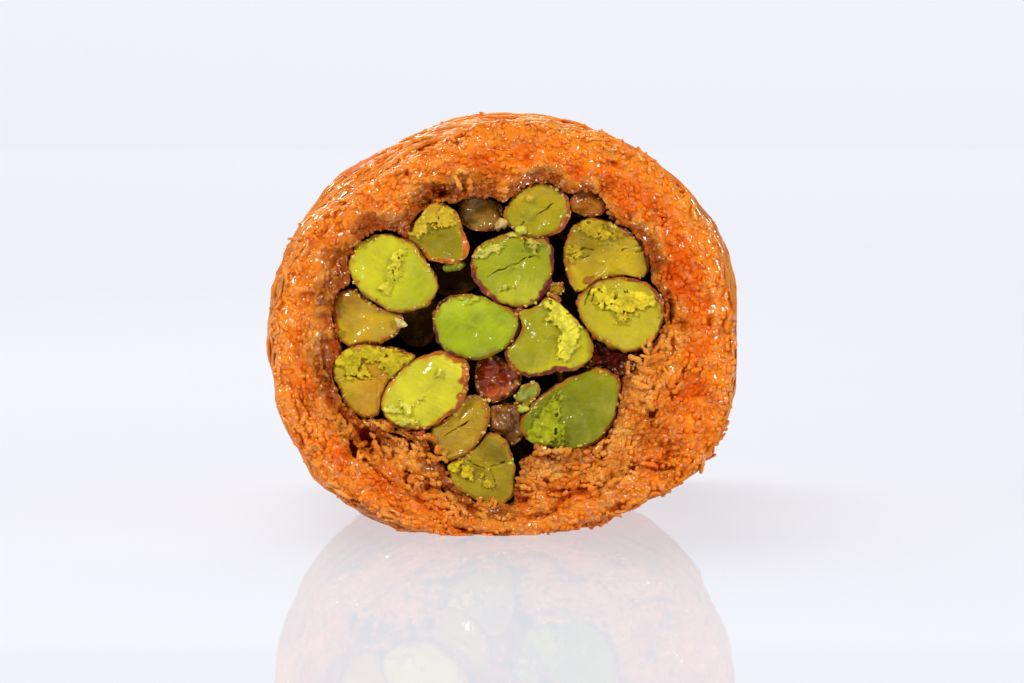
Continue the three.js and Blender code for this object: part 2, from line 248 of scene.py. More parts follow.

# at, half, tilt, corner and sunk place and shape the cut: its middle from the roll's axis, its half sizes,
# the turn of the longer one, how three-cornered it is and towards where, and how far it lies back.
# flesh is its colour, rim the colour by its edge, and glow a colour on the side at so many degrees, partly
# the flesh's own change of colour and partly painted light and shade, lighter where light falls on the cut
# and darker where it is shaded. chips are torn patches, each its middle and half sizes, and chip is their
# colour, with painted light and shade from facet to facet. cracks are open lines, painted dark inside as
# painted shade.
# skin is the colour of the sides, with painted shade darker down them, and peel shows more of it: direction,
# spread, and width. shrivel wrinkles the cut.
KERNELS = {
    "left_large": dict(
        at=(-10.3, 5.2), half=(4.5, 3.3), tilt=-35, corner=(0.03, 90), sunk=0.4,
        flesh=(188, 180, 34), rim=(170, 146, 24), glow=(-20, (160, 165, 26)), skin=(110, 62, 30),
        chips=[(-9.55, 7.15, 0.4, 0.35), (-10.26, 6.31, 0.45, 0.6), (-10.69, 5.22, 0.4, 0.68),
               (-11.19, 4.14, 0.43, 0.5), (-10.01, 5.84, 0.5, 0.43)],
        chip=(206, 194, 52), peel=[(20, 50, 0.2), (-100, 40, 0.15)],
    ),
    "upper_left": dict(
        at=(-6.1, 8.8), half=(2.9, 2.7), tilt=-50, corner=(0.13, -40), sunk=0.6,
        flesh=(140, 124, 15), rim=(176, 130, 30), glow=(100, (190, 155, 34)), skin=(190, 96, 34),
        chips=[(-7.22, 10.49, 1.49, 0.77), (-5.36, 10.8, 1.24, 0.68), (-7.84, 9.56, 0.93, 0.68),
               (-5.98, 10.03, 1.24, 0.56)],
        chip=(200, 168, 44),
        peel=[(-25, 50, 0.7), (-80, 30, 0.6), (150, 30, 0.25)],
    ),
    "top_right": dict(
        at=(3.3, 11.1), half=(3.1, 2.5), tilt=5, corner=(0.04, 200), sunk=0.5,
        flesh=(158, 142, 20), rim=(132, 118, 16), glow=(110, (196, 158, 34)), skin=(150, 74, 40),
        chips=[(2.32, 12.35, 0.31, 0.28)], chip=(206, 176, 60),
        cracks=[[(3.16, 10.74), (3.93, 11.27), (4.71, 11.89)], [(1.45, 9.81), (2.01, 10.12)]],
        peel=[(-30, 40, 0.5), (20, 40, 0.3)],
    ),
    "top_centre": dict(
        at=(1.1, 5.8), half=(4.0, 3.6), tilt=18, corner=(0.08, -70), sunk=0.3,
        flesh=(149, 150, 25), rim=(128, 118, 18), glow=(-60, (178, 174, 40)), skin=(104, 36, 34),
        chips=[(-2.26, 7.33, 0.74, 0.4), (-1.03, 7.86, 0.62, 0.31), (2.85, 8.01, 0.6, 0.75),
               (0.37, 4.05, 0.43, 0.31), (1.14, 9.19, 0.62, 0.43)],
        chip=(192, 184, 78),
        cracks=[[(-1.4, 4.98), (-0.1, 5.72), (1.14, 6.15), (2.14, 6.71)],
                [(2.32, 6.77), (3.0, 7.08), (3.19, 7.52)], [(1.76, 8.94), (2.01, 8.32), (2.14, 7.39)]],
        peel=[(30, 50, 0.4), (-40, 18, 1.0), (205, 30, 0.8), (-130, 40, 0.2)],
    ),
    "right_lower": dict(
        at=(11.2, 1.6), half=(4.1, 3.4), tilt=-15, corner=(0.05, 160), sunk=0.2,
        flesh=(178, 160, 32), rim=(160, 130, 28), glow=(-80, (188, 168, 36)), skin=(124, 60, 34),
        chips=[(9.82, 3.05, 1.12, 0.87), (11.37, 2.74, 1.36, 0.93), (12.92, 2.74, 1.18, 0.81),
               (11.06, 1.35, 0.62, 0.81), (9.05, 3.36, 0.68, 0.5), (11.99, 1.81, 0.62, 0.43)],
        chip=(216, 192, 46),
        cracks=[[(8.27, 3.98), (7.9, 3.05), (7.65, 2.12)], [(8.58, 3.67), (8.21, 2.59)]],
        peel=[(90, 70, 0.32), (10, 50, 0.3), (-60, 40, 0.25)],
    ),
    "right_upper": dict(
        at=(9.5, 6.3), half=(4.3, 3.9), tilt=-50, corner=(0.05, -120), sunk=0.5,
        flesh=(186, 156, 26), rim=(146, 108, 20), glow=(120, (150, 124, 22)), skin=(92, 34, 30),
        chips=[(8.27, 9.56, 1.08, 0.77), (9.51, 8.94, 0.93, 0.43), (6.72, 7.39, 0.68, 0.62),
               (6.1, 6.77, 0.43, 0.31), (7.34, 3.67, 0.68, 0.31), (10.44, 9.56, 0.62, 0.5)],
        chip=(190, 160, 34),
        cracks=[[(9.33, 9.93), (9.42, 9.5)], [(11.06, 7.39), (11.99, 7.77), (12.77, 7.95)],
                [(11.53, 6.71), (12.3, 7.21), (13.08, 7.46)], [(6.41, 7.08), (7.5, 7.64), (8.58, 7.39)],
                [(6.72, 6.62), (7.96, 6.93)], [(12.3, 9.56), (12.61, 8.94)]],
        peel=[(10, 45, 0.35), (50, 30, 0.2)],
    ),
    "centre": dict(
        at=(-2.7, 0.3), half=(4.2, 3.0), tilt=-6, corner=(0.06, -110), sunk=0.4,
        flesh=(150, 162, 24), rim=(112, 110, 14), glow=(90, (172, 182, 38)), skin=(96, 48, 36),
        chips=[(-3.19, 3.74, 0.68, 0.37), (-2.88, 2.9, 0.7, 0.3)], chip=(186, 188, 46),
        peel=[(-150, 40, 0.35), (0, 30, 0.3), (140, 30, 0.3), (-110, 20, 0.3)],
    ),
    "centre_right": dict(
        at=(4.1, -0.9), half=(4.0, 3.7), tilt=-10, corner=(0.13, 100), sunk=0.2,
        flesh=(156, 148, 20), rim=(136, 128, 20), glow=(-50, (182, 170, 28)), skin=(120, 48, 30),
        chips=[(5.17, 1.5, 1.05, 1.05), (6.41, 0.57, 1.12, 1.24), (6.1, -0.67, 0.93, 1.12),
               (5.64, -1.9, 0.68, 0.87), (4.71, 2.12, 0.74, 0.68), (6.72, 1.5, 0.62, 0.87)],
        chip=(218, 206, 62), peel=[(-95, 45, 0.5), (-60, 25, 0.3), (-140, 25, 0.3)],
    ),
    "lower_left": dict(
        at=(-7.2, -5.8), half=(4.6, 3.1), tilt=36, corner=(0.03, 60), sunk=0.2,
        flesh=(196, 187, 40), rim=(186, 142, 32), glow=(150, (196, 186, 46)), skin=(156, 78, 24),
        chips=[(-10.01, -7.48, 0.87, 0.5), (-8.77, -7.79, 0.43, 0.5), (-7.53, -6.55, 0.31, 0.25),
               (-5.83, -4.23, 0.25, 0.25), (-9.24, -8.57, 0.62, 0.31)],
        chip=(214, 204, 82), peel=[(20, 55, 1.1), (-100, 90, 0.16)],
    ),
    "left_lower": dict(
        at=(-12.1, -4.5), half=(4.0, 3.3), tilt=15, corner=(0.12, -100), sunk=0.5,
        flesh=(186, 136, 30), rim=(176, 116, 24), glow=(150, (186, 158, 34)), skin=(120, 62, 34),
        chips=[(-14.35, -2.83, 1.36, 1.05), (-12.18, -2.37, 1.55, 0.81), (-10.48, -3.14, 1.24, 0.81),
               (-9.24, -2.68, 0.74, 0.56), (-10.01, -4.23, 0.62, 0.68), (-13.73, -4.07, 0.87, 0.62)],
        chip=(194, 172, 34), cracks=[[(-15.59, -4.54), (-14.35, -4.38), (-12.96, -4.76)]],
        peel=[(30, 40, 0.25), (110, 50, 0.12)],
    ),
    "left_sunken": dict(
        at=(-13.0, 1.0), half=(3.4, 2.7), tilt=-20, corner=(0.08, 120), sunk=1.0,
        flesh=(182, 146, 28), rim=(180, 108, 24), glow=(110, (142, 98, 14)), skin=(150, 80, 34),
        peel=[(-60, 60, 0.2)],
    ),
    "lower_right": dict(
        at=(6.7, -7.8), half=(5.0, 3.3), tilt=32, corner=(0.08, 60), sunk=0.4,
        flesh=(122, 124, 16), rim=(108, 100, 14), glow=(20, (140, 136, 24)), skin=(124, 54, 28),
        chips=[(3.31, -10.27, 0.99, 1.24), (4.24, -9.03, 0.93, 1.86), (4.86, -7.17, 0.43, 1.55),
               (5.17, -9.96, 0.56, 1.24), (2.69, -11.36, 0.56, 0.62)],
        chip=(156, 158, 26), peel=[(-60, 70, 0.25), (40, 30, 0.2)],
    ),
    "low_sunken": dict(
        at=(-4.2, -9.3), half=(3.6, 2.4), tilt=50, corner=(0.03, 0), sunk=1.1,
        flesh=(176, 138, 26), rim=(150, 110, 22), glow=(130, (150, 122, 28)), skin=(140, 84, 30),
        chips=[(-5.98, -11.51, 0.62, 0.43)], chip=(206, 140, 50),
        cracks=[[(-5.61, -10.12), (-4.43, -9.34), (-3.19, -8.6)], [(-3.19, -11.82), (-2.7, -11.51)]],
        peel=[(-140, 40, 0.3)],
    ),
    "bottom": dict(
        at=(-1.8, -13.2), half=(3.5, 3.1), tilt=-60, corner=(0.1, -60), sunk=0.3,
        flesh=(152, 128, 20), rim=(160, 134, 26), glow=(60, (132, 108, 14)), skin=(140, 90, 30),
        chips=[(-4.43, -12.75, 0.81, 0.5), (-3.97, -12.13, 0.5, 0.74), (-3.19, -13.37, 0.74, 0.62),
               (-1.58, -14.55, 0.43, 0.74), (-2.26, -13.99, 0.62, 0.37), (-4.74, -13.06, 0.43, 0.31)],
        chip=(192, 166, 32),
        cracks=[[(-1.3, -12.9), (-0.56, -12.75), (0.21, -12.5)],
                [(-1.7, -13.1), (-2.88, -12.69), (-3.6, -12.0)],
                [(-1.3, -13.1), (-0.87, -13.99), (-0.65, -14.92)]],
        peel=[(60, 50, 0.15)],
    ),
    "top_sunken": dict(
        at=(-2.0, 10.8), half=(2.4, 1.6), tilt=-10, corner=(0.04, 0), sunk=2.2,
        flesh=(156, 112, 30), rim=(110, 66, 18), glow=(-150, (84, 60, 12)), skin=(90, 52, 24),
        shrivel=0.12, peel=[(60, 60, 0.3)],
    ),
    "red_skin": dict(
        at=(-0.7, -4.7), half=(2.3, 2.1), tilt=-60, corner=(0.08, 120), sunk=1.8,
        flesh=(132, 42, 8), rim=(96, 26, 6), glow=(-60, (184, 84, 30)), skin=(112, 32, 6),
        shrivel=0.34,
    ),
    "dark_skin": dict(
        at=(10.4, -2.6), half=(3.0, 1.8), tilt=10, corner=(0.05, 60), sunk=2.0,
        flesh=(96, 24, 8), rim=(66, 14, 4), glow=(0, (110, 36, 16)), skin=(76, 18, 5),
        shrivel=0.4,
    ),
    "brown_skin": dict(
        at=(0.4, -8.9), half=(2.2, 2.0), tilt=20, corner=(0.06, 30), sunk=1.5,
        flesh=(132, 84, 34), rim=(110, 62, 24), glow=(-20, (120, 78, 50)), skin=(104, 58, 24),
        shrivel=0.36,
    ),
    "shard": dict(
        at=(2.3, -6.3), half=(1.5, 1.1), tilt=70, corner=(0.12, -80), sunk=0.7,
        flesh=(136, 142, 48), rim=(126, 118, 36), glow=(-100, (168, 164, 54)), skin=(120, 80, 36),
        chips=[(1.76, -7.33, 0.5, 0.31)], chip=(172, 168, 58),
    ),
    "chip": dict(
        at=(4.7, 3.7), half=(1.1, 0.7), tilt=20, corner=(0.05, 0), sunk=0.8,
        flesh=(150, 118, 26), rim=(150, 96, 22), glow=(180, (176, 108, 30)), skin=(130, 70, 26),
    ),
    "under_crust": dict(
        at=(7.9, 11.8), half=(1.7, 1.2), tilt=-15, corner=(0.05, 90), sunk=1.0,
        flesh=(156, 88, 18), rim=(140, 60, 12), glow=(0, (170, 104, 26)), skin=(140, 64, 16),
    ),
}


def lattice(cell, seed):
    """A settled random number from 0 to 1 for each cell of a lattice."""
    mixed = cell[..., 0] * 374761393 + cell[..., 1] * 668265263 + cell[..., 2] * 1440662683 + seed * 974711
    mixed = mixed & 0xFFFFFFFF
    mixed = ((mixed ^ (mixed >> 13)) * 1274126177) & 0xFFFFFFFF
    mixed = mixed ^ (mixed >> 16)
    return (mixed & 0xFFFFFF) / 0x1000000


def cloud(points, size, seed, octaves=1):
    """Soft unevenness from -1 to 1 at points, in patches of a size, with finer patches on them."""
    total = 0
    for octave in range(octaves):
        scaled = points / (size / 2**octave)
        cell = np.floor(scaled).astype(np.int64)
        part = scaled - cell
        part = part * part * (3 - 2 * part)
        value = 0
        for corner in range(8):
            side = (corner & 1, corner >> 1 & 1, corner >> 2 & 1)
            weight = 1
            for k in range(3):
                weight = weight * (part[..., k] if side[k] else 1 - part[..., k])
            value = value + weight * lattice(cell + side, seed + 7 * octave)
        total = total + (2 * value - 1) / 2**octave
    return total


def grains(points, size, seed):
    """The nearest of points scattered a size apart: how far it is, in sizes, and its own number."""
    scaled = points / size
    cell = np.floor(scaled).astype(np.int64)
    nearest = np.full(points.shape[:-1], 9.0)
    number = np.zeros(points.shape[:-1])
    for step in range(27):
        near = cell + np.array([step % 3 - 1, step // 3 % 3 - 1, step // 9 - 1])
        spot = np.stack([lattice(near, seed + k) for k in (1, 2, 3)], axis=-1)
        away = np.linalg.norm(near + spot - scaled, axis=-1)
        closer = away < nearest
        nearest = np.where(closer, away, nearest)
        number = np.where(closer, spot[..., 0], number)
    return nearest, number


def eased(value, start, end):
    """0 before start, 1 after end and a smooth step between."""
    share = np.clip((value - start) / (end - start), 0, 1)
    return share * share * (3 - 2 * share)


def across(x, z, along=0.0):
    """Places from how far they lie to the side of the roll's axis, above it and along it."""
    return np.stack([x, along + 0 * x, z], axis=-1)


def wound(distance, angle, along=0.0):
    """Places at a distance from the roll's axis and an angle round it."""
    return across(distance * np.cos(angle), distance * np.sin(angle), along)


def places_of(mesh):
    """A mesh's vertices in millimetres."""
    flat = np.empty(3 * len(mesh.vertices))
    mesh.vertices.foreach_get("co", flat)
    return flat.reshape(-1, 3) / MM


def put(name, mesh, points, material, replaces, marks=None, tints=None):
    """Moves a mesh's vertices to their places from the axis and adds it to the roll as a piece."""
    points = points.reshape(-1, 3) + (AXIS_SIDE, 0, AXIS_HEIGHT)
    points = np.clip(points, np.array(cad_low) / MM + 0.001, np.array(cad_high) / MM - 0.001)
    mesh.vertices.foreach_set("co", (points * MM).ravel())
    mesh.update()
    for mark, values in (marks or {}).items():
        layer = mesh.attributes.new(mark, "FLOAT", "POINT")
        layer.data.foreach_set("value", np.broadcast_to(values, len(points)).astype(float).ravel())
    if tints is not None:
        layer = mesh.attributes.new("tint", "FLOAT_COLOR", "POINT")
        full = np.concatenate([tints.reshape(-1, 3), np.ones((len(points), 1))], axis=1)
        layer.data.foreach_set("color", full.ravel())
    mesh.shade_smooth()
    mesh.materials.clear()
    mesh.materials.append(material)
    mesh.name = name
    piece = bpy.data.objects.new(name, mesh)
    scene.collection.objects.link(piece)
    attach(piece, "root")
    if replaces:
        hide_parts(*replaces)
    return piece


def kernel_outline(size, angle, swell=0.0):
    """The edge of a kernel's cut at angles round its own middle, from the roll's axis."""
    turn = math.radians(size["tilt"])
    share, towards = size["corner"]
    shape = 1 + share * np.cos(3 * (angle + turn - math.radians(towards)))
    side = (size["half"][0] * shape + swell) * np.cos(angle)
    up = (size["half"][1] * shape + swell) * np.sin(angle)
    x = size["at"][0] + side * math.cos(turn) - up * math.sin(turn)
    z = size["at"][1] + side * math.sin(turn) + up * math.cos(turn)
    return np.stack([x, z], axis=-1)


def inside_kernel(size, places, swell):
    """Whether places on the cut lie inside a kernel swelled by a little."""
    turn = math.radians(size["tilt"])
    share, towards = size["corner"]
    x, z = places[..., 0] - size["at"][0], places[..., 1] - size["at"][1]
    side, up = x * math.cos(turn) + z * math.sin(turn), z * math.cos(turn) - x * math.sin(turn)
    half, rise = size["half"]
    angle = np.arctan2(up / rise, side / half)
    shape = 1 + share * np.cos(3 * (angle + turn - math.radians(towards)))
    return (side / (half * shape + swell)) ** 2 + (up / (rise * shape + swell)) ** 2 < 1


OUTLINE_STEPS = 360
outline_angles = np.arange(OUTLINE_STEPS) * TURN / OUTLINE_STEPS


def yielded(size, earlier):
    """How much of a kernel's reach is left at each angle where it gives way to those laid before it."""
    middle = np.array(size["at"])
    edge = kernel_outline(size, outline_angles)
    shares = np.linspace(0, 1, 61)
    spots = middle + shares[:, None, None] * (edge - middle)
    blocked = np.zeros(spots.shape[:2], bool)
    for other in earlier:
        blocked |= inside_kernel(other, spots, 0.4 * GAP)
    first = np.where(blocked.any(0), shares[np.argmax(blocked, axis=0)], 1)
    wide = np.concatenate([first[-4:], first, first[:4]])
    return np.maximum(0.15, np.convolve(wide, np.ones(9) / 9, mode="valid"))


def near_line(places, line):
    """The distance from places on the cut to a line of points, and how far along the line that is."""
    best = np.full(places.shape[:-1], 99.0)
    where = np.zeros(places.shape[:-1])
    for number, (start, end) in enumerate(zip(np.array(line)[:-1], np.array(line)[1:])):
        along = end - start
        share = np.clip(((places - start) @ along) / (along @ along), 0, 1)
        away = np.linalg.norm(places - start - share[..., None] * along, axis=-1)
        where = np.where(away < best, (number + share) / (len(line) - 1), where)
        best = np.minimum(best, away)
    return best, where


def linear(colour):
    """A colour as a screen shows it, as an array of three shares of light."""
    return np.array(paint(*colour)[:3])


def blended(colours, share, other):
    """Colours with a share of another one at each place."""
    return colours + share[:, None] * (other - colours)


def kernel_blank(around, rings, cut):
    """A turned blank with its pole at the cut: the mesh, how far back each vertex is, and its angle."""
    shape = bmesh.new()
    quarter = Matrix.Rotation(math.radians(90 if cut < 0 else -90), 4, "X")
    bmesh.ops.create_uvsphere(shape, u_segments=around, v_segments=rings, radius=MM, matrix=quarter)
    mesh = bpy.data.meshes.new("kernel")
    shape.to_mesh(mesh)
    shape.free()
    unit = places_of(mesh)
    back = np.arccos(np.clip(unit[:, 1] * np.sign(cut), -1, 1)) / math.pi
    return mesh, back, np.arctan2(unit[:, 2], unit[:, 0])


def knife_strokes(flat, seed):
    """The fine marks that the knife leaves on a kernel, all one way."""
    slant = seed % 7 * 0.45
    cos, sin = math.cos(slant), math.sin(slant)
    x, along, z = flat.T
    stroke = np.stack([(x * cos + z * sin) / 2.4, along, (z * cos - x * sin) / 0.2], axis=-1)
    return cloud(stroke, 1, seed + 22, 2) * eased(cloud(flat, 1.6, seed + 23), -0.2, 0.5)


def torn_share(size, places, jag):
    """How torn a kernel's cut is at each place."""
    torn = np.zeros(len(places))
    for x, z, half, rise in size.get("chips", []):
        away = np.hypot((places[:, 0] - x) / half, (places[:, 1] - z) / rise)
        torn = np.maximum(torn, 1 - eased((away - 1) * min(half, rise) + jag, -0.04, 0.05))
    return torn


def cracked(size, places, flat, seed):
    """How open a kernel's cracks are at each place, and how far one lip lies behind the other."""
    open_here, lips = np.zeros(len(places)), np.zeros(len(places))
    wavy = 0.09 * np.stack([cloud(flat, 0.7, seed + 4, 2), cloud(flat, 0.7, seed + 5, 2)], axis=-1)
    for line in size.get("cracks", []):
        away, where = near_line(places + wavy, line)
        width = 0.012 + 0.058 * np.sqrt(np.clip(4 * where * (1 - where), 0, 1))
        width = width * (1 + 0.5 * cloud(flat, 0.6, seed + 12))
        gape = 0.75 + 0.5 * cloud(flat, 0.5, seed + 26)
        open_here = np.maximum(open_here, np.exp(-((away / width) ** 2)) * gape)
        lips += 0.12 * np.exp(-away / 0.5) * np.sign(places[:, 1] - np.array(line)[:, 1].mean() - 0.1)
    return open_here, lips


def skin_share(size, direction, from_edge, flat, seed):
    """How much skin covers each place of a kernel's cut, from the direction and the distance to its edge."""
    peel = 0.03 + 0.1 * cloud(flat, 0.9, seed + 6, 2)
    for towards, spread, extra in size.get("peel", []):
        off = (direction - towards + 180) % 360 - 180
        peel = peel + extra * np.exp(-((off / spread) ** 2)) * (0.75 + 0.6 * cloud(flat, 0.7, seed + 7, 2))
    return 1 - eased(from_edge, peel * 0.7, peel + 0.03)


RIM_TAN = (176, 104, 18)
CRACK_PAINTED_SHADE = (66, 60, 6)
SKIN_BROWN = (186, 104, 30)


def flesh_tints(size, places, flat, from_edge, strokes, seed):
    """The colours of smooth flesh: its own, the glow on one side (partly painted light and shade), the rim
    and the knife's strokes.
    """
    towards, side_colour_and_light = size["glow"]
    aim = math.radians(towards)
    lean = (places - size["at"]) @ np.array([math.cos(aim), math.sin(aim)]) / size["half"][0]
    flesh = linear(size["flesh"]) * np.ones((len(places), 1))
    # Painted light and shade: the side colour is lighter where light falls on the cut and darker where it is
    # shaded.
    flesh = blended(flesh, eased(lean + 0.3 * cloud(flat, 1.3, seed + 9, 2), -0.1, 0.9), linear(side_colour_and_light))
    near_rim = eased(from_edge + 0.25 * cloud(flat, 0.8, seed + 15, 2), 0.8, 0.0)
    flesh = blended(flesh, 0.8 * near_rim, linear(size["rim"]))
    flesh = blended(flesh, 0.5 * near_rim**3, linear(RIM_TAN))
    return flesh * (1 + 0.1 * cloud(flat, 1.3, seed + 10, 2) + 0.07 * strokes)[:, None]


def skin_tints(size, deep_spot, down, seed):
    """The colours of a kernel's skin, with painted shade that darkens it down its sides, back into the gaps.
    """
    skin = linear(size["skin"]) * np.ones((len(down), 1))
    skin = blended(skin, 0.55 * eased(cloud(deep_spot, 1.2, seed + 16, 2), -0.1, 0.5), linear(SKIN_BROWN))
    shade = 1 + 0.45 * cloud(deep_spot, 0.7, seed + 11, 2)
    # Painted shade: the skin darkens down the sides, where they go back into the gaps between kernels.
    return skin * shade[:, None] * (1 - 0.72 * eased(down, 0, 0.3))[:, None]


CAP_ROWS = 0.66  # share of a blank's rings that the cut takes, and the rest go down the sides
EDGE_ROUND = 0.22  # the cut's edge is rounded by this much


def lay_kernel(name, size, room, cut, around, rings, material, replaces):
    """One kernel, cut across, with its flesh, torn chips, cracks and skin."""
    mesh, back, angle = kernel_blank(around, rings, cut)
    share = np.minimum(back / CAP_ROWS, 1)
    down = np.clip((back - CAP_ROWS) / (1 - CAP_ROWS), 0, 1)
    local = angle - math.radians(size["tilt"])
    room_here = np.interp(local % TURN, np.append(outline_angles, TURN), np.append(room, room[0]))
    middle = np.array(size["at"])
    seed = int(abs(1000 * middle[0] + 10 * middle[1])) % 9973
    edge = (kernel_outline(size, local) - middle) * room_here[:, None]
    round_edge = wound(3, local)
    wobble = 0.045 * cloud(round_edge, 1.5, seed + 20) + 0.018 * cloud(round_edge, 0.35, seed + 21)
    edge *= (1 + wobble)[:, None]
    places = middle + (share * np.sqrt(1 - down**2.2))[:, None] * edge
    reach = np.linalg.norm(edge, axis=-1)
    inward = -np.sign(cut)

    on_cut = 1 - eased(share, 0.999, 1)
    flat = across(places[:, 0], places[:, 1])
    strokes = knife_strokes(flat, seed)
    uneven = CUT_RELIEF * np.sin(2 * local + 5 * middle[0] + 4 * share) * np.sqrt(share)
    depth = size["sunk"] + 0.7 * uneven + down * DEPTH_SHARE * size["half"][0]
    depth += EDGE_ROUND * eased(share, 1 - 0.5 / reach, 1) ** 2
    depth += 0.13 * cloud(flat, 1.4, seed) + 0.03 * cloud(flat, 0.35, seed + 1, 2) + 0.008 * strokes

    jag = 0.42 * cloud(flat, 0.5, seed + 2, 3)
    torn = torn_share(size, places, jag) * on_cut
    crumb, number = grains(flat + 0.1 * jag[:, None], 0.38, seed + 3)
    facet = 1 - np.clip(crumb, 0, 1)
    depth -= torn * (0.22 + 0.16 * number + 0.1 * facet + 0.12 * jag + 0.12 * cloud(flat, 0.8, seed + 24))
    open_here, lips = cracked(size, places, flat, seed)
    open_here *= on_cut
    depth += lips + 0.35 * open_here

    from_edge = (1 - share) * reach
    skinned = skin_share(size, np.degrees(angle), from_edge, flat, seed)
    skinned = np.where(share >= 1, 1, skinned) * (1 - 0.6 * torn)
    deep_spot = flat + (0, 1, 0) * depth[:, None]
    wrinkle = cloud(deep_spot, 0.5, seed + 8, 2)
    depth += skinned * on_cut * (0.05 + 0.1 * wrinkle)
    shrivel = size.get("shrivel", 0)
    folds = np.abs(cloud(flat, 1.1, seed + 13, 2)) + 0.5 * cloud(flat, 0.45, seed + 14)
    depth += shrivel * on_cut * folds
    swelled = middle + (places - middle) * (1 + (down > 0) * 0.03 * wrinkle)[:, None]
    points = across(swelled[:, 0], swelled[:, 1], cut + inward * depth)

    flesh = flesh_tints(size, places, flat, from_edge, strokes, seed)
    # Painted light and shade on the torn chips: each facet is lighter or darker, and lighter towards its
    # middle, as if light fell on it.
    light = 0.72 + 0.26 * number + 0.14 * facet + 0.2 * cloud(flat, 0.7, seed + 25, 2)
    flesh = blended(flesh, torn, linear(size.get("chip", size["flesh"])) * light[:, None])
    # Painted shade: open cracks are darkened as if shade fell inside them.
    flesh = blended(flesh, 0.78 * eased(open_here, 0.25, 1), linear(CRACK_PAINTED_SHADE))
    tints = np.clip(blended(flesh, skinned, skin_tints(size, deep_spot, down, seed)), 0.002, 1)
    gloss = 0.4 + 0.3 * torn + 0.1 * open_here - 0.06 * skinned - 0.14 * (size["sunk"] > 0.9)
    gloss = gloss + 0.5 * (size["sunk"] > 3) - 0.2 * (shrivel > 0.2)
    piece = put(name, mesh, points, material, replaces, {"matt": gloss}, tints)
    return piece, points[(share > 0.86) & (share < 1)]


kernel_finish, kernel_shader, wire = finish_of("pistachio_flesh_and_skin", {
    "Specular IOR Level": 0.05, "Coat IOR": 1.5, "Coat Roughness": 0.12,
    "Subsurface Weight": 0.2, "Subsurface Radius": (1, 0.8, 0.1), "Subsurface Scale": 0.0009,
})
spot = wire.node("ShaderNodeTexCoord", output="Object")
tint = wire.node("ShaderNodeAttribute", {"attribute_name": "tint"})
matt = wire.node("ShaderNodeAttribute", {"attribute_name": "matt"}, output=2)
pores = wire.node("ShaderNodeTexNoise", {}, {"Vector": spot, "Scale": 3200, "Detail": 4, "Roughness": 0.6})
flecks = wire.node("ShaderNodeTexNoise", {}, {"Vector": spot, "Scale": 900, "Detail": 3})
darker = tint.mixed(0.5, (0.55, 0.5, 0.35, 1), "MULTIPLY")
mottled = tint.mixed(((pores - 0.47) * 3.2).held() * 0.35, darker)
mottled = mottled.mixed(((flecks - 0.56) * 4).held() * 0.2, (0.62, 0.55, 0.06, 1))
bump = wire.node("ShaderNodeBump", {}, {"Height": pores, "Strength": 0.4, "Distance": 0.00014})
mottled.into(kernel_shader, "Base Color")
(matt + (pores - 0.5) * 0.25).held().into(kernel_shader, "Roughness")
((0.6 - matt) * 1.6 + (flecks - 0.5) * 2).held().into(kernel_shader, "Coat Weight")
bump.into(kernel_shader, "Normal")

laid = []
cut_edges = []
for title, size in KERNELS.items():
    around, rings = (200, 92) if size["half"][0] > 2.5 else (110, 56)
    piece, edge_points = lay_kernel(
        f"nut_{title}", size, yielded(size, laid), FRONT, around, rings, kernel_finish, [f"kernel_{title}"]
    )
    laid.append(size)
    cut_edges.append(edge_points)

# ---- The rest of the filling ---------------------------------------------------------------------
# Whole kernels are packed behind the near ones all the way to the far cut. Only their rounded backs show in
# the gaps of the near cut, painted dark brown as painted shade, and the far cut goes through kernels of its
# own.
# FILLING_RADII is how far it reaches from the axis at twelve clock positions, anticlockwise from +X.
FILLING_RADII = [14.6, 14.2, 13.4, 12.2, 11.8, 14.0, 14.6, 14.8, 12.2, 14.0, 11.2, 12.4]
HEAP_SUNK = 6.2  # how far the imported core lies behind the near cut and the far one
HEAP_BACK = 3.2


def round_through(radii, angle):
    """A smooth closed outline through radii at equal angles."""
    count = len(radii)
    radii = np.array(radii, float)
    place = (angle / TURN) % 1 * count
    step = np.floor(place).astype(int)
    t = place - step
    before, start, end, after = (radii[(step + k) % count] for k in (-1, 0, 1, 2))
    bend = start * (2 * t**3 - 3 * t**2 + 1) + end * (3 * t**2 - 2 * t**3)
    return bend + (end - before) / 2 * (t**3 - 2 * t**2 + t) + (after - start) / 2 * (t**3 - t**2)


core_mesh, core_back, core_angle = kernel_blank(160, 120, FRONT)
core_reach = round_through(FILLING_RADII, core_angle) + np.where(core_back < 0.5, 2.4, 0.6)
core_width = np.clip(np.where(core_back < 0.6, core_back, 1 - core_back) / 0.4, 0, 1) * core_reach
core_ends = [FRONT + HEAP_SUNK, FRONT + HEAP_SUNK, BACK - HEAP_BACK, BACK - HEAP_BACK]
core = wound(core_width, core_angle, np.interp(core_back, [0, 0.4, 0.6, 1], core_ends))
heads, _ = grains(core * (1, 0.3, 1), 4.2, 51)
core[:, 1] += np.where(core_back < 0.4, 2.6 * heads - 1.2, 0)
# Painted shade: the core is painted near-black brown, for the shade deep in the gaps between the kernels.
core_painted_shade = linear((46, 24, 8)) * (0.7 + 0.5 * cloud(core, 2.0, 52, 3))[:, None]
put("filling_core", core_mesh, core, kernel_finish, ["pistachio_filling"],
    {"matt": 0.8}, np.clip(core_painted_shade, 0.003, 1))

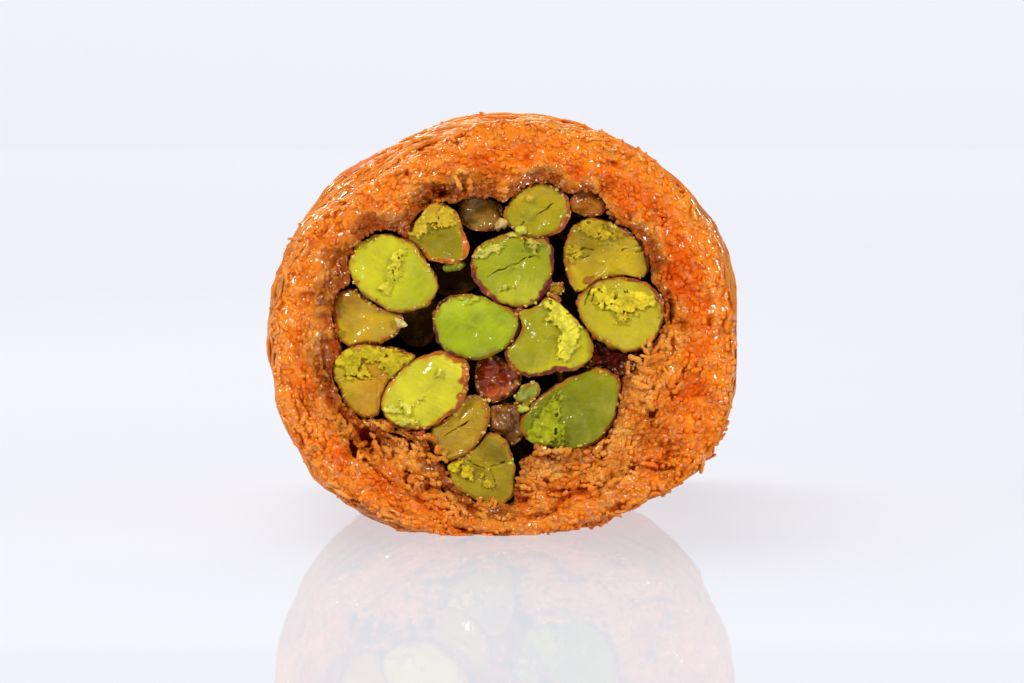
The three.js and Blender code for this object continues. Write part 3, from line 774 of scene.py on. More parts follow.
DEEP_KERNELS = [
    dict(at=(-4.6, 4.9), half=(2.4, 2.0), tilt=10, corner=(0.05, 0), sunk=4.2),
    dict(at=(-8.0, 0.7), half=(2.6, 2.1), tilt=60, corner=(0.05, 40), sunk=4.5),
    dict(at=(6.6, 3.0), half=(2.4, 2.0), tilt=90, corner=(0.05, 80), sunk=4.6),
    dict(at=(-9.5, -8.6), half=(2.4, 2.0), tilt=20, corner=(0.05, 80), sunk=4.8),
    dict(at=(2.6, -10.6), half=(2.2, 1.9), tilt=40, corner=(0.05, 30), sunk=4.4),
    dict(at=(7.4, -4.4), half=(2.4, 2.0), tilt=0, corner=(0.05, 30), sunk=4.4),
    dict(at=(1.3, 1.9), half=(2.2, 1.9), tilt=30, corner=(0.05, 30), sunk=4.6),
    dict(at=(6.5, 10.0), half=(2.0, 1.8), tilt=60, corner=(0.05, 30), sunk=4.4),
]


def joined(name, pieces):
    """Several pieces made one."""
    with bpy.context.temp_override(active_object=pieces[0], selected_editable_objects=pieces):
        bpy.ops.object.join()
    pieces[0].name = pieces[0].data.name = name


deep_pieces = []
# These kernels lie deep in the gaps of the near cut. Their flesh, rim and skin are painted dark brown as
# painted shade, a little lighter on their upper side where some light reaches.
for size in DEEP_KERNELS:
    size.update(flesh=(70, 42, 12), rim=(50, 24, 8), glow=(90, (84, 56, 14)), skin=(54, 24, 8))
    piece, _ = lay_kernel("deep", size, np.ones(OUTLINE_STEPS), FRONT, 72, 40, kernel_finish, [])
    deep_pieces.append(piece)
joined("deep_nuts", deep_pieces)
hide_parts("pistachio_filling")

FAR_KERNELS = 13
FAR_SPREAD = 3.3  # how widely they lie on a spiral, each a golden angle on from the last, in radians
GOLDEN_ANGLE = 2.39996
FLESHES = [(176, 168, 34), (150, 142, 22), (190, 172, 40), (136, 136, 22), (200, 160, 36), (164, 170, 30)]
SKINS = [(110, 58, 30), (98, 40, 32), (150, 84, 34), (88, 40, 26)]


def drawn(seed):
    """The same numbers from 0 to 1 that the solids are made with."""
    while True:
        seed = (seed * 1664525 + 1013904223) % 4294967296
        yield seed / 4294967296


draws = drawn(29)
far_laid = []
far_pieces = []
rng = np.random.default_rng(8)
for number in range(FAR_KERNELS):
    distance = FAR_SPREAD * math.sqrt(number + 0.4)
    angle = number * GOLDEN_ANGLE
    size = dict(
        at=(distance * math.cos(angle), 0.95 * distance * math.sin(angle)),
        half=(3.2 + 0.7 * next(draws), 2.5 + 0.5 * next(draws)),
        tilt=180 * next(draws),
        corner=(0.1 * next(draws), 360 * next(draws)),
        sunk=0.3 + 0.5 * next(draws),
    )
    middle = np.array(size["at"])
    chips = []
    for _ in range(rng.integers(0, 5)):
        chips.append((*(middle + rng.uniform(-1.6, 1.6, 2)), *rng.uniform(0.5, 1.2, 2)))
    bend = rng.uniform(-1.5, 1.5, 2)
    cracks = [[middle - bend, middle + rng.uniform(-0.3, 0.3, 2), middle + bend]] if number % 2 else []
    flesh = FLESHES[number % len(FLESHES)]
    size.update(
        flesh=flesh, rim=tuple(int(0.82 * c) for c in flesh),
        glow=(rng.uniform(0, 360), FLESHES[(number + 2) % len(FLESHES)]),
        skin=SKINS[number % len(SKINS)], chips=chips, chip=(206, 190, 54), cracks=cracks,
        peel=[(rng.uniform(-180, 180), 50, 0.4), (rng.uniform(-180, 180), 40, 0.25)],
    )
    piece, _ = lay_kernel("far", size, yielded(size, far_laid), BACK, 96, 50, kernel_finish, [])
    far_pieces.append(piece)
    far_laid.append(size)
joined("far_nuts", far_pieces)
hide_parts("pistachio_filling")

# ---- Pastry: the crust ---------------------------------------------------------------------------
# Fine shreds of pastry, wound round the kernels and baked, hold together with syrup as one wet crumb. The
# knife leaves it granular and torn. It is orange at the rim and tan by the kernels, and its holes, gaps and
# grooves are painted dark red as painted shade.
# These lists run round the clock like the filling's: the crust's distance from the axis, and how far the
# brown and the tan by the kernels reach, as shares of the pastry's thickness.
CRUST_RADII = [21.5, 21.5, 20.4, 19.9, 19.8, 21.4, 22.2, 22.8, 21.6, 20, 20.6, 22.7]
BROWN_REACH = [0.16, 0.24, 0.3, 0.3, 0.44, 0.5, 0.5, 0.36, 0.26, 0.26, 0.18, 0.1]
TAN_REACH = [0.36, 0.2, 0.2, 0.32, 0.32, 0.28, 0.32, 0.5, 0.6, 0.66, 0.74, 0.66]
WINDING_PITCH = 3.4  # from one turn of the winding to the next, and how far each stands out
WINDING_RELIEF = 0.32
WINDING_TILT = 1.6
LUMP_RELIEF = 0.4
RIM = 1.3  # radius of the rounded edge of a cut
BULGE = 0.5  # how much thinner the roll is at its ends
FACE_RELIEF = 0.45
# Places where the cut has torn open: angle, distance from the axis, width and depth.
TEARS = [
    (-2.42, 16.6, 1.6, 0.9), (-2.05, 16.4, 1.5, 0.8), (-0.62, 19.4, 1.7, 1.4),
    (-0.86, 17.6, 1.6, 1.2), (2.04, 13.6, 1.6, 1.6),
]
# Small holes in the near cut: across and up from the axis, half width, half height and depth.
HOLES = [
    (-12.96, -10.58, 0.55, 0.45, 2.0), (-14.2, -11.45, 0.5, 0.5, 2.0), (-12.34, -11.67, 0.35, 0.3, 1.4),
    (-9.08, -13.68, 0.4, 0.6, 2.0), (-6.98, -14.92, 0.35, 0.3, 1.8), (-5.2, -15.08, 0.4, 0.3, 1.8),
    (16.0, -6.24, 0.35, 0.3, 1.2), (16.8, -12.1, 0.7, 0.22, 1.2), (15.4, -13.06, 0.5, 0.2, 1.2),
    (14.16, -7.8, 0.3, 0.3, 1.2), (15.7, 1.6, 0.35, 0.7, 1.6), (-5.5, 12.9, 1.1, 0.5, 1.6),
    (-7.2, 11.9, 0.6, 0.4, 1.4), (-9.6, -9.9, 1.2, 0.8, 3.0), (-8.2, -11.2, 1.0, 0.8, 3.0),
]


def lumps(angle, along):
    """Uneven lumps from -1 to 1 round the roll."""
    return (
        0.5 * np.sin(3 * angle + 0.31 * along)
        + 0.3 * np.sin(7 * angle - 0.53 * along + 1.3)
        + 0.2 * np.sin(11 * angle + 0.92 * along + 4.1)
    )


def bump_round(angle, at, width):
    """A soft bump of height 1 at an angle round the roll."""
    off = (angle - at + math.pi) % TURN - math.pi
    return np.exp(-((off / width) ** 2))


def crust_reach(angle, along):
    """The distance from the axis to the crust's outside, with its windings and rounded rims."""
    start = along - WINDING_TILT * np.sin(angle + 0.6) * (1 - (along / BACK) ** 4)
    on_side = np.clip((BACK - np.abs(along)) / RIM, 0, 1)
    relief = WINDING_RELIEF * np.cos(TURN * start / WINDING_PITCH) + LUMP_RELIEF * lumps(angle, start)
    drop = RIM * (1 - np.sqrt(1 - (1 - on_side) ** 2))
    rough = cloud(wound(18, angle, along), 2.0, 66, 2)
    relief = relief + (0.1 + 0.32 * eased(-along, 15, 23)) * rough
    swell = 0.65 * bump_round(angle, -0.1, 0.9) * eased(-along, 6, 20)
    swell = swell - 1.3 * bump_round(angle, 2.3, 0.6) * eased(-along, 17, 24)
    return round_through(CRUST_RADII, angle) - BULGE * (along / BACK) ** 2 + on_side * relief - drop + swell


# Where the pastry begins: just outside the kernels of the cut.
reach_by_step = np.zeros(OUTLINE_STEPS)
fine = np.linspace(0, TURN, 3000)
for size in KERNELS.values():
    spots = kernel_outline(size, fine, 0.12)
    step = (np.arctan2(spots[:, 1], spots[:, 0]) / TURN * OUTLINE_STEPS).astype(int) % OUTLINE_STEPS
    np.maximum.at(reach_by_step, step, np.hypot(spots[:, 0], spots[:, 1]))
reach_by_step = np.maximum(reach_by_step, 0.93 * round_through(FILLING_RADII, outline_angles))
wide = np.concatenate([reach_by_step[-3:], reach_by_step, reach_by_step[:3]])
near_hollow = np.convolve(wide, [0.05, 0.1, 0.2, 0.3, 0.2, 0.1, 0.05], mode="valid")


def hollow_reach(angle, face):
    """The distance from the axis to the pastry's inner edge on a cut."""
    if face < 0:
        step = np.append(outline_angles, TURN)
        return np.interp(angle % TURN, step, np.append(near_hollow, near_hollow[0]))
    return round_through(FILLING_RADII, angle)


def face_depth(angle, distance, face):
    """How far the cut pastry lies behind the knife's plane."""
    x, z = distance * np.cos(angle), distance * np.sin(angle)
    depth = FACE_RELIEF / 2 + FACE_RELIEF / 2 * lumps(5 * angle, 2.2 * distance)
    flat = across(x, z, face)
    depth = depth + 0.22 * cloud(flat, 2.6, 61, 2)
    if face < 0:
        for at, away, width, deep in TEARS:
            gone = (x - away * math.cos(at)) ** 2 + (z - away * math.sin(at)) ** 2
            depth = depth + 0.6 * deep * np.exp(-gone / width**2) * (0.6 + 0.8 * cloud(flat, 1.0, 62, 2))
        for side, up, half, rise, deep in HOLES:
            gone = ((x - side) / half) ** 2 + ((z - up) / rise) ** 2 + 0.7 * cloud(flat, 0.6, 63)
            depth = depth + deep * np.exp(-np.maximum(gone, 0) ** 1.5)
    return depth


def crumb_relief(points, angle, distance, layered):
    """The pastry's wet grains and torn layers: how far they stand out, how open they are, which later sets
    painted shade, and how light they are, partly the grains' own tone and partly painted glints.
    """
    warped = points + 0.22 * np.stack([cloud(points, 0.9, 71 + k) for k in range(3)], axis=-1)
    coarse, one = grains(warped, 1.0, 74)
    small, two = grains(warped, 0.56, 78)
    bands = np.stack([angle * 5.5, points[..., 1] / 3, distance / 0.85], axis=-1)
    layers = cloud(bands, 1, 82, 2)
    pits = eased(cloud(points, 1.3, 85, 2), 0.5, 0.95)
    height = 0.2 * (1 - np.clip(coarse, 0, 1) ** 2) * (0.4 + one)
    height = height + (0.16 + 0.12 * layered) * (1 - np.clip(1.1 * small, 0, 1) ** 2) * (0.4 + 0.6 * two)
    height = height + 0.3 * layered * layers + 0.14 * cloud(points, 1.7, 83, 2) - 0.28 - 0.35 * pits
    open_layer = layered * eased(-layers, 0.35, 0.8)
    gaps = np.clip(0.3 * eased(small, 0.6, 0.95) + 0.35 * pits + 0.75 * open_layer, 0, 1)
    return height - 0.35 * open_layer, gaps, np.clip(0.5 * one + 0.5 * two, 0, 1)


def tan_share(angle, distance, face):
    """How tan the less baked pastry by the kernels is, and over 1, how brown and soaked it is."""
    start, end = hollow_reach(angle, face), round_through(CRUST_RADII, angle)
    share = (distance - start) / (end - start)
    reach = round_through(TAN_REACH, angle)
    flat = wound(distance, angle)
    tan = 1 - eased(share + 0.22 * cloud(flat, 2.4, 91, 2), 0.45 * reach, 1.35 * reach)
    soaked = round_through(BROWN_REACH, angle)
    return tan + 1 - eased(share + 0.14 * cloud(flat, 1.8, 93, 2), 0.3 * soaked, 1.2 * soaked + 0.02)


def ring_blank(rows, around):
    """A closed ring, rolled from a grid and welded: the mesh, and the row and column of each vertex."""
    shape = bmesh.new()
    bmesh.ops.create_grid(shape, x_segments=around, y_segments=rows, size=1)
    for vert in shape.verts:
        turn, roll = (vert.co.x + 1) * math.pi, (vert.co.y + 1) * math.pi
        away = 2 + math.cos(roll)
        vert.co = (away * math.cos(turn), math.sin(roll), away * math.sin(turn))
    edge = [vert for vert in shape.verts if vert.is_boundary]
    bmesh.ops.remove_doubles(shape, verts=edge, dist=1e-5)
    mesh = bpy.data.meshes.new("ring")
    shape.to_mesh(mesh)
    shape.free()
    x, y, z = (places_of(mesh) * MM).T
    column = np.round(np.arctan2(z, x) / TURN * around).astype(int) % around
    row = np.round(np.arctan2(y, np.hypot(x, z) - 2) / TURN * rows).astype(int) % rows
    return mesh, row, column


def outward(points):
    """Which way a ring's surface faces at each row and column, and how large it is there."""
    by_row = np.roll(points, -1, 0) - np.roll(points, 1, 0)
    by_column = np.roll(points, -1, 1) - np.roll(points, 1, 1)
    normal = np.cross(by_row, by_column)
    size = np.maximum(np.linalg.norm(normal, axis=-1), 1e-9)
    return normal / size[..., None], size / 4


WALL_DEPTHS = [9.6, 8.0, 6.3, 4.8, 3.5, 2.4, 1.5, 0.8]  # rows up the wall of the hollow, behind the cut
WALL_ROWS = len(WALL_DEPTHS)
OUTSIDE_ROWS = 8


def crust_piece(name, face, around, face_rows, rim_rows):
    """One end of the crust: the wall of the hollow, the cut, its rim and a little of the outside."""
    inward = -np.sign(face)
    angle = np.arange(around) * TURN / around
    hollow = hollow_reach(angle, face)
    rim_start = crust_reach(angle, np.full(around, face))
    rows = []
    for k, depth in enumerate(WALL_DEPTHS):  # up the wall of the hollow
        rows.append((hollow + 0.25 * (k < 2), face + inward * depth + 0 * angle))
    for k in range(face_rows):  # across the cut
        distance = hollow + (rim_start - hollow) * (k / (face_rows - 1))
        rows.append((distance, face + inward * face_depth(angle, distance, face)))
    for k in range(1, rim_rows + 1):  # over the rim
        turn = k / rim_rows * math.pi / 2
        along = face + inward * RIM * (1 - math.cos(turn)) + 0 * angle
        held = face_depth(angle, rim_start, face) * inward * math.cos(turn)
        rows.append((crust_reach(angle, along), along + held))
    for k in range(1, OUTSIDE_ROWS + 1):  # a little way along the outside, to where the middle takes over
        along = face + inward * (RIM + 0.5 * k) + 0 * angle
        rows.append((crust_reach(angle, along) - 0.8 * eased(k, OUTSIDE_ROWS - 2, OUTSIDE_ROWS), along))
    last = rows[-1]
    rows.append((last[0] - 2.0, last[1] + inward * 0.8))
    rows.append(((last[0] + hollow) / 2, last[1] + inward * 2.5))
    rows.append((hollow + 1.5, last[1] + inward * 3.5))
    distance = np.array([row[0] for row in rows])
    along = np.array([row[1] for row in rows])
    points = wound(distance, angle, along)
    facing, area = outward(points)
    if (facing[WALL_ROWS + face_rows // 2, :, 1] * inward).mean() > 0:
        facing = -facing
    spread = np.broadcast_to(angle, distance.shape)
    layered = 0.35 + 0.65 * eased(-np.sin(spread + 0.25), 0.1, 0.8)
    height, gaps, pale = crumb_relief(points, spread, distance, layered)
    height[:2] = height[-3:] = 0  # these rows lie hidden under other pieces
    points = points + facing * height[..., None]
    # Painted shade: deep is darkest in the open gaps, pits and torn layers, where the cut lies far behind
    # the knife's plane, and darker the further down the wall of the hollow.
    sunk = np.clip((inward * (points[..., 1] - face) - 0.9) / 1.8, 0, 1) * (distance < rim_start - 0.6)
    deep = np.clip(gaps + sunk, 0, 1)
    deep[:WALL_ROWS] = np.clip(0.3 * gaps[:WALL_ROWS] + np.array(WALL_DEPTHS)[:, None] / 8, 0, 1)
    values = {
        "tan": tan_share(spread, distance, face),
        "deep": deep,
        "rim": eased(distance - rim_start, -2.0, 0.5),
        "pale": pale,
    }
    mesh, row, column = ring_blank(len(rows), around)
    put(name, mesh, points[row, column], pastry_finish, ["kataifi_pastry"],
        {mark: value[row, column] for mark, value in values.items()})
    area[:WALL_ROWS] = area[-5:] = 0
    area *= (sunk < 0.5) * (1 - 0.9 * gaps)
    return points, facing, area, values


pastry_finish, pastry_shader, wire = finish_of("syrup_soaked_pastry", {
    "Specular IOR Level": 0.16, "Specular Tint": (1, 0.75, 0.35, 1), "Coat IOR": 1.7, "Coat Roughness": 0.13,
    "Subsurface Weight": 0.6, "Subsurface Radius": (1, 0.4, 0.06), "Subsurface Scale": 0.0016,
})
spot = wire.node("ShaderNodeTexCoord", output="Object")
tan, deep, rim, pale = (
    wire.node("ShaderNodeAttribute", {"attribute_name": mark}, output=2)
    for mark in ("tan", "deep", "rim", "pale")
)
patches = wire.node("ShaderNodeTexNoise", {}, {"Vector": spot, "Scale": 330, "Detail": 4, "Roughness": 0.6})
specks = wire.node("ShaderNodeTexNoise", {}, {
    "Vector": spot, "Scale": 1700, "Detail": 3, "Roughness": 0.65})
beads = wire.node("ShaderNodeTexVoronoi", {"feature": "SMOOTH_F1"}, {
    "Vector": spot, "Scale": 3000, "Smoothness": 0.35})
baked = wire.node("ShaderNodeValToRGB", {"stops": [
    (0.34, paint(208, 74, 2)), (0.46, paint(220, 90, 4)), (0.57, paint(231, 111, 8)),
    (0.72, paint(243, 145, 28)),
]}, {"Fac": patches})
crumb = wire.node("ShaderNodeValToRGB", {"stops": [
    (0.34, paint(182, 94, 18)), (0.48, paint(206, 122, 34)), (0.6, paint(222, 146, 56)),
    (0.74, paint(238, 178, 96)),
]}, {"Fac": patches})
colour = baked.mixed(rim * 0.65, paint(240, 141, 32))
colour = colour.mixed((tan * 0.8).held(), crumb)
colour = colour.mixed(((tan - 1) * 0.9).held(), paint(132, 50, 6))
# Painted highlights: pale grains are partly the crumb's own lighter tone and partly painted glints; the
# least pale are redder.
colour = colour.mixed(((pale - 0.55) * 0.8).held(), paint(244, 168, 64))
colour = colour.mixed(((0.42 - pale) * 1.3).held(), paint(208, 76, 0))
colour = colour.mixed(((specks - 0.55) * 5).held() * 0.25, paint(248, 176, 74))
# Painted shade: deep darkens holes, gaps between grains, grooves and places under other strands to a dark
# red.
colour = colour.mixed(((deep - 0.1) * 1.1).held() * 0.85, paint(184, 62, 6))
height = beads * -0.6 + specks * 0.3
bump = wire.node("ShaderNodeBump", {}, {"Height": height, "Strength": 0.5, "Distance": 0.0002})
wet = wire.node("ShaderNodeTexNoise", {}, {"Vector": spot, "Scale": 1700, "Detail": 1})
syrup = (wet - 0.49) * 6 + (patches - 0.5) * 2.5 + rim * 0.5 - deep
colour.into(pastry_shader, "Base Color")
(0.42 + (specks - 0.5) * 0.5 + tan * 0.08).held().into(pastry_shader, "Roughness")
syrup.held().into(pastry_shader, "Coat Weight")
bump.into(pastry_shader, "Normal")


def variant(material, name, values):
    """A copy of a material under another name, with some uniform values of its own."""
    copy = material.copy()
    copy.name = name
    set_on(copy.node_tree.nodes["Principled BSDF"], values)
    return copy


# Single strands and grains are too thin for the light to wander as far in them.
strand_finish = variant(pastry_finish, "syrup_soaked_strands", {
    "Subsurface Weight": 0.3, "Subsurface Scale": 0.00012})
# On the outside a film of syrup lies over the strands and throws back long streaks of light.
film_finish = variant(strand_finish, "syrup_film_on_strands", {"Coat IOR": 2.2, "Coat Roughness": 0.08})

# The near cut, the far one, and the winding between them, which is hollow where the filling lies.
near_cut = crust_piece("crust_near", FRONT, 1000, 66, 14)
far_cut = crust_piece("crust_far", BACK, 560, 40, 10)

MIDDLE_AROUND = 340
MIDDLE_ROWS = 96
MIDDLE_START = 4.3  # how far behind each cut the middle begins, and how far its ends dive under the cuts
MIDDLE_DIVE = 0.9
middle_angle = np.arange(MIDDLE_AROUND) * TURN / MIDDLE_AROUND
stations = np.linspace(FRONT + MIDDLE_START, BACK - MIDDLE_START, MIDDLE_ROWS)
middle_distance = [crust_reach(middle_angle, np.full(MIDDLE_AROUND, along)) for along in stations]
middle_distance[0] -= MIDDLE_DIVE
middle_distance[-1] -= MIDDLE_DIVE
inner = round_through(FILLING_RADII, middle_angle)
for along, share in ((BACK - 5.5, 0.5), (BACK - 8, 0.0), (0, 0.0), (FRONT + 8, 0.0), (FRONT + 5.5, 0.5)):
    middle_distance.append(inner + 0.8 + share * 3)
    stations = np.append(stations, along)
middle_points = wound(np.array(middle_distance), middle_angle, stations[:, None])
middle_spread = np.broadcast_to(middle_angle, middle_points.shape[:2])
ridge_places = np.stack([middle_spread * 5, middle_points[..., 1] / 0.55, 0 * middle_spread], -1)
ridges = cloud(ridge_places, 1, 95, 2)
middle_points[:MIDDLE_ROWS] *= 1 + (0.012 * ridges[:MIDDLE_ROWS, :, None]) * (1, 0, 1)
middle_mesh, row, column = ring_blank(len(stations), MIDDLE_AROUND)
# Painted shade: deep darkens the grooves between the winding's ridges.
put("crust_middle", middle_mesh, middle_points[row, column], pastry_finish, ["kataifi_pastry"],
    {"tan": 0.0, "deep": (0.5 - 0.5 * ridges)[row, column], "rim": 0.6, "pale": 0.45})

# ---- Pastry: the wound strands --------------------------------------------------------------------
# Single shreds lie side by side round the roll, stuck down by syrup, and lean, cross and dive under one
# another. Each is a thin round thread of batter with tapered broken ends.
STRAND_STEPS = 34
STRAND_RADIUS = 0.21


def threads(name, points, thick, radius):
    """Round threads along runs of points, with a share of the radius at each: the mesh, and its places."""
    count, steps = thick.shape
    curve = bpy.data.curves.new(name, "CURVE")
    curve.dimensions = "3D"
    curve.bevel_depth = radius
    curve.bevel_resolution = 1
    curve.use_fill_caps = True
    for run, widths in zip(points, thick):
        spline = curve.splines.new("POLY")
        spline.points.add(steps - 1)
        spline.points.foreach_set("co", np.append(run, np.ones((steps, 1)), axis=1).ravel())
        spline.points.foreach_set("radius", widths)
    holder = bpy.data.objects.new(name, curve)
    mesh = bpy.data.meshes.new_from_object(holder)
    bpy.data.objects.remove(holder)
    return mesh, places_of(mesh) * MM


def strand_piece(name, seed, count, low, high, reach_round):
    """Strands wound round the crust between two places along the roll."""
    rng = np.random.default_rng(seed)
    t = np.linspace(0, 1, STRAND_STEPS)
    start = rng.uniform(0, TURN, (count, 1))
    sweep = rng.uniform(*reach_round, (count, 1))
    along = rng.uniform(low, high, (count, 1)) + rng.normal(0, 1.3, (count, 1)) * (t - 0.5)
    angle = start + sweep * t
    path = across(angle * 8, start + 0 * t, along)
    along = np.clip(along + 0.35 * cloud(path, 3.0, seed, 2), FRONT + 0.2, BACK - 0.2)
    lift = 0.02 + 0.13 * cloud(path, 2.2, seed + 5, 2) - 0.6 * np.abs(2 * t - 1) ** 10
    away = crust_reach(angle, along) + lift
    thick = rng.uniform(0.75, 1.25, (count, 1)) * (1 - 0.5 * np.abs(2 * t - 1) ** 6)
    points = wound(away, angle, along)
    points[..., 2] = np.maximum(points[..., 2], -AXIS_HEIGHT + 0.8 * STRAND_RADIUS)
    mesh, place = threads(name, points, thick, STRAND_RADIUS)
    own = np.repeat(rng.uniform(0, 1, count), len(place) // count)
    spread = np.arctan2(place[:, 2], place[:, 0])
    proud = np.hypot(place[:, 0], place[:, 2]) - crust_reach(spread, place[:, 1])
    patch = cloud(place * (0.4, 1, 0.4), 3.0, seed + 9, 2)
    # Painted shade: deep darkens a strand where it sinks below the winding, under its neighbours.
    values = {"tan": 0.85 + 0.3 * own + 0.3 * patch, "deep": np.clip((0.1 - proud) / 0.4, 0, 1),
              "rim": 0.4 + 0.6 * own, "pale": 0.3 + 0.45 * own}
    return put(name, mesh, place, film_finish, ["kataifi_pastry"], values)


strand_piece("strands_front", 101, 400, FRONT + 1.2, -8, (0.5, 1.6))
strand_piece("strands_middle", 131, 360, -8, 8, (0.5, 1.6))
strand_piece("strands_back", 161, 400, 8, BACK - 1.2, (0.5, 1.6))

# ---- Pastry: loose ends on the outside -----------------------------------------------------------
# Broken ends of strands lift out of the winding all over the outside, and syrup has baked them stiff.
LOOSE_STEPS = 9
LOOSE_RADIUS = 0.22


def loose_ends(name, count, seed):
    """Short knobbly threads that start in the winding and stand out of it at their ends."""
    rng = np.random.default_rng(seed)
    t = np.linspace(0, 1, LOOSE_STEPS)
    start = rng.uniform(0, TURN, (count, 1))
    along = rng.uniform(FRONT + 0.4, BACK - 0.4, (count, 1))
    near_front = rng.uniform(0, 1, (count, 1)) < 0.45
    along = np.where(near_front, FRONT + 0.3 + 5 * rng.uniform(0, 1, (count, 1)) ** 1.5, along)
    heading = rng.normal(0, 0.6, (count, 1)) + np.cumsum(rng.normal(0, 0.16, (count, LOOSE_STEPS)), axis=1)
    step = rng.uniform(0.08, 0.26, (count, 1)) * rng.choice([-1, 1], (count, 1))
    angle = start + np.cumsum(step * np.cos(heading), axis=1) / 20
    along = np.clip(along + np.cumsum(step * np.sin(heading), axis=1), FRONT + 0.2, BACK - 0.2)
    lift = -0.1 + rng.uniform(0.15, 0.6, (count, 1)) * t**1.6
    away = crust_reach(angle, along) + lift
    points = wound(away, angle, along)
    points[..., 2] = np.maximum(points[..., 2], -AXIS_HEIGHT + 0.3)
    thick = rng.uniform(0.7, 1.2, (count, 1)) * (1 + rng.uniform(-0.3, 0.3, angle.shape)) * (1 - 0.4 * t**3)
    mesh, place = threads(name, points, thick, LOOSE_RADIUS)
    own = np.repeat(rng.uniform(0, 1, count), len(place) // count)
    values = {"tan": 0.4 + 0.6 * own, "deep": 0.05, "rim": own, "pale": 0.4 + 0.5 * own}
    return put(name, mesh, place, strand_finish, ["kataifi_pastry"], values)


loose_ends("loose_ends", 520, 191)

# ---- Pastry: the cut ends of strands --------------------------------------------------------------
# The knife cuts thousands of strands, and their short wet ends stand up from both cuts: round grains where
# they point at the knife and little worms where they lie along it.


def many(shape, count):
    """A mesh of so many copies of a shape, one after another, with every vertex of each in order."""
    mesh = bpy.data.meshes.new("copies")
    shape.to_mesh(mesh)
    shape.free()
    holder = bpy.data.objects.new("copies", mesh)
    scene.collection.objects.link(holder)
    copies = holder.modifiers.new("copies", "ARRAY")
    copies.count = count
    copies.use_relative_offset = False
    copies.use_constant_offset = True
    copies.constant_offset_displace = (0, 0, 0)
    whole = bpy.data.meshes.new_from_object(holder.evaluated_get(bpy.context.evaluated_depsgraph_get()))
    bpy.data.objects.remove(holder)
    return whole, places_of(whole).reshape(count, -1, 3) * MM


def turned(points, axis, angle):
    """Each of many shapes turned about its own axis."""
    axis = axis / np.linalg.norm(axis, axis=-1, keepdims=True)
    axis = axis[:, None, :]
    cos, sin = np.cos(angle)[:, None, None], np.sin(angle)[:, None, None]
    along = (points * axis).sum(-1, keepdims=True) * axis
    return points * cos + np.cross(np.broadcast_to(axis, points.shape), points) * sin + along * (1 - cos)


def strand_ends(name, surface, count, seed):
    """Blunt grains and worms spread evenly over a cut, each with the colour of the crumb under it."""
    rng = np.random.default_rng(seed)
    points, facing, area, marks = surface
    reach = np.cumsum(area)
    index = np.searchsorted(reach, (np.arange(count) + rng.uniform(0, 1, count)) / count * reach[-1])
    at, out = points.reshape(-1, 3)[index], facing.reshape(-1, 3)[index]
    shape = bmesh.new()
    bmesh.ops.create_uvsphere(shape, u_segments=6, v_segments=4, radius=1)
    mesh, unit = many(shape, count)
    blunt = 1 + 0.25 * (np.abs(np.abs(unit[..., 2]) - 0.7) < 0.1)
    unit = unit * np.stack([blunt, blunt, 0 * blunt + 1], axis=-1)
    unit = unit * (1 + 0.1 * rng.uniform(-1, 1, unit.shape[:2]))[..., None]
    radius = rng.uniform(0.15, 0.27, count)
    stretch = 1 + 1.3 * rng.uniform(0, 1, count) ** 2
    unit = unit * radius[:, None, None]
    unit[..., 2] *= stretch[:, None]
    lie = across(-at[:, 2], at[:, 0])
    lie = lie / np.linalg.norm(lie, axis=-1, keepdims=True) + rng.normal(0, 0.5, (count, 3))
    lie /= np.linalg.norm(lie, axis=-1, keepdims=True)
    unit = turned(unit, np.cross((0, 0, 1), lie), np.arccos(lie[:, 2]))
    places = (at + out * rng.normal(-0.05, 0.06, (count, 1)))[:, None, :] + unit
    # Painted shade on the underside of each grain, where it sits in the crumb.
    under = np.clip(0.45 - (unit * out[:, None, :]).sum(-1) / radius[:, None], 0, 1)
    values = {mark: value.ravel()[index][:, None] + 0 * under for mark, value in marks.items()}
    values["deep"] = np.clip(0.5 * values["deep"] + 0.15 * under, 0, 1)
    values["pale"] = 0.6 * values["pale"] + 0.4 * rng.uniform(0, 1, (count, 1))
    return put(name, mesh, places, strand_finish, ["kataifi_pastry"],
               {mark: value.ravel() for mark, value in values.items()})


strand_ends("strand_ends_near", near_cut, 3600, 201)
strand_ends("strand_ends_far", far_cut, 3200, 231)

# ---- Pastry: torn shreds on the near cut -----------------------------------------------------------
# Low down, where less syrup has soaked in, the knife has pulled pale knobbly shreds out of the crumb. A few
# hang over the hollow beside the kernels.
SHRED_STEPS = 12
SHRED_RADIUS = 0.27
# Shreds that stand by themselves: places across and up from the axis.
HANGING = [
    [(-10.6, -8.9), (-9.7, -9.3), (-8.9, -9.9), (-8.3, -10.3)],
    [(-11.6, -9.6), (-10.5, -10.2), (-9.8, -10.9)],
    [(-8.6, -11.9), (-8.0, -11.2), (-7.4, -11.0)], [(-7.9, -12.8), (-7.2, -12.3), (-6.7, -12.6)],
    [(-4.6, 14.6), (-4.2, 13.8), (-3.9, 13.1)], [(-3.2, 14.2), (-3.0, 13.5), (-3.1, 12.9)],
    [(12.6, -3.4), (13.5, -3.9), (14.3, -4.0)], [(12.2, -4.7), (13.0, -5.3), (13.9, -5.4)],
    [(12.9, -2.4), (13.8, -2.6), (14.8, -2.2)], [(12.4, -6.4), (13.3, -6.6), (14.1, -6.2)],
]


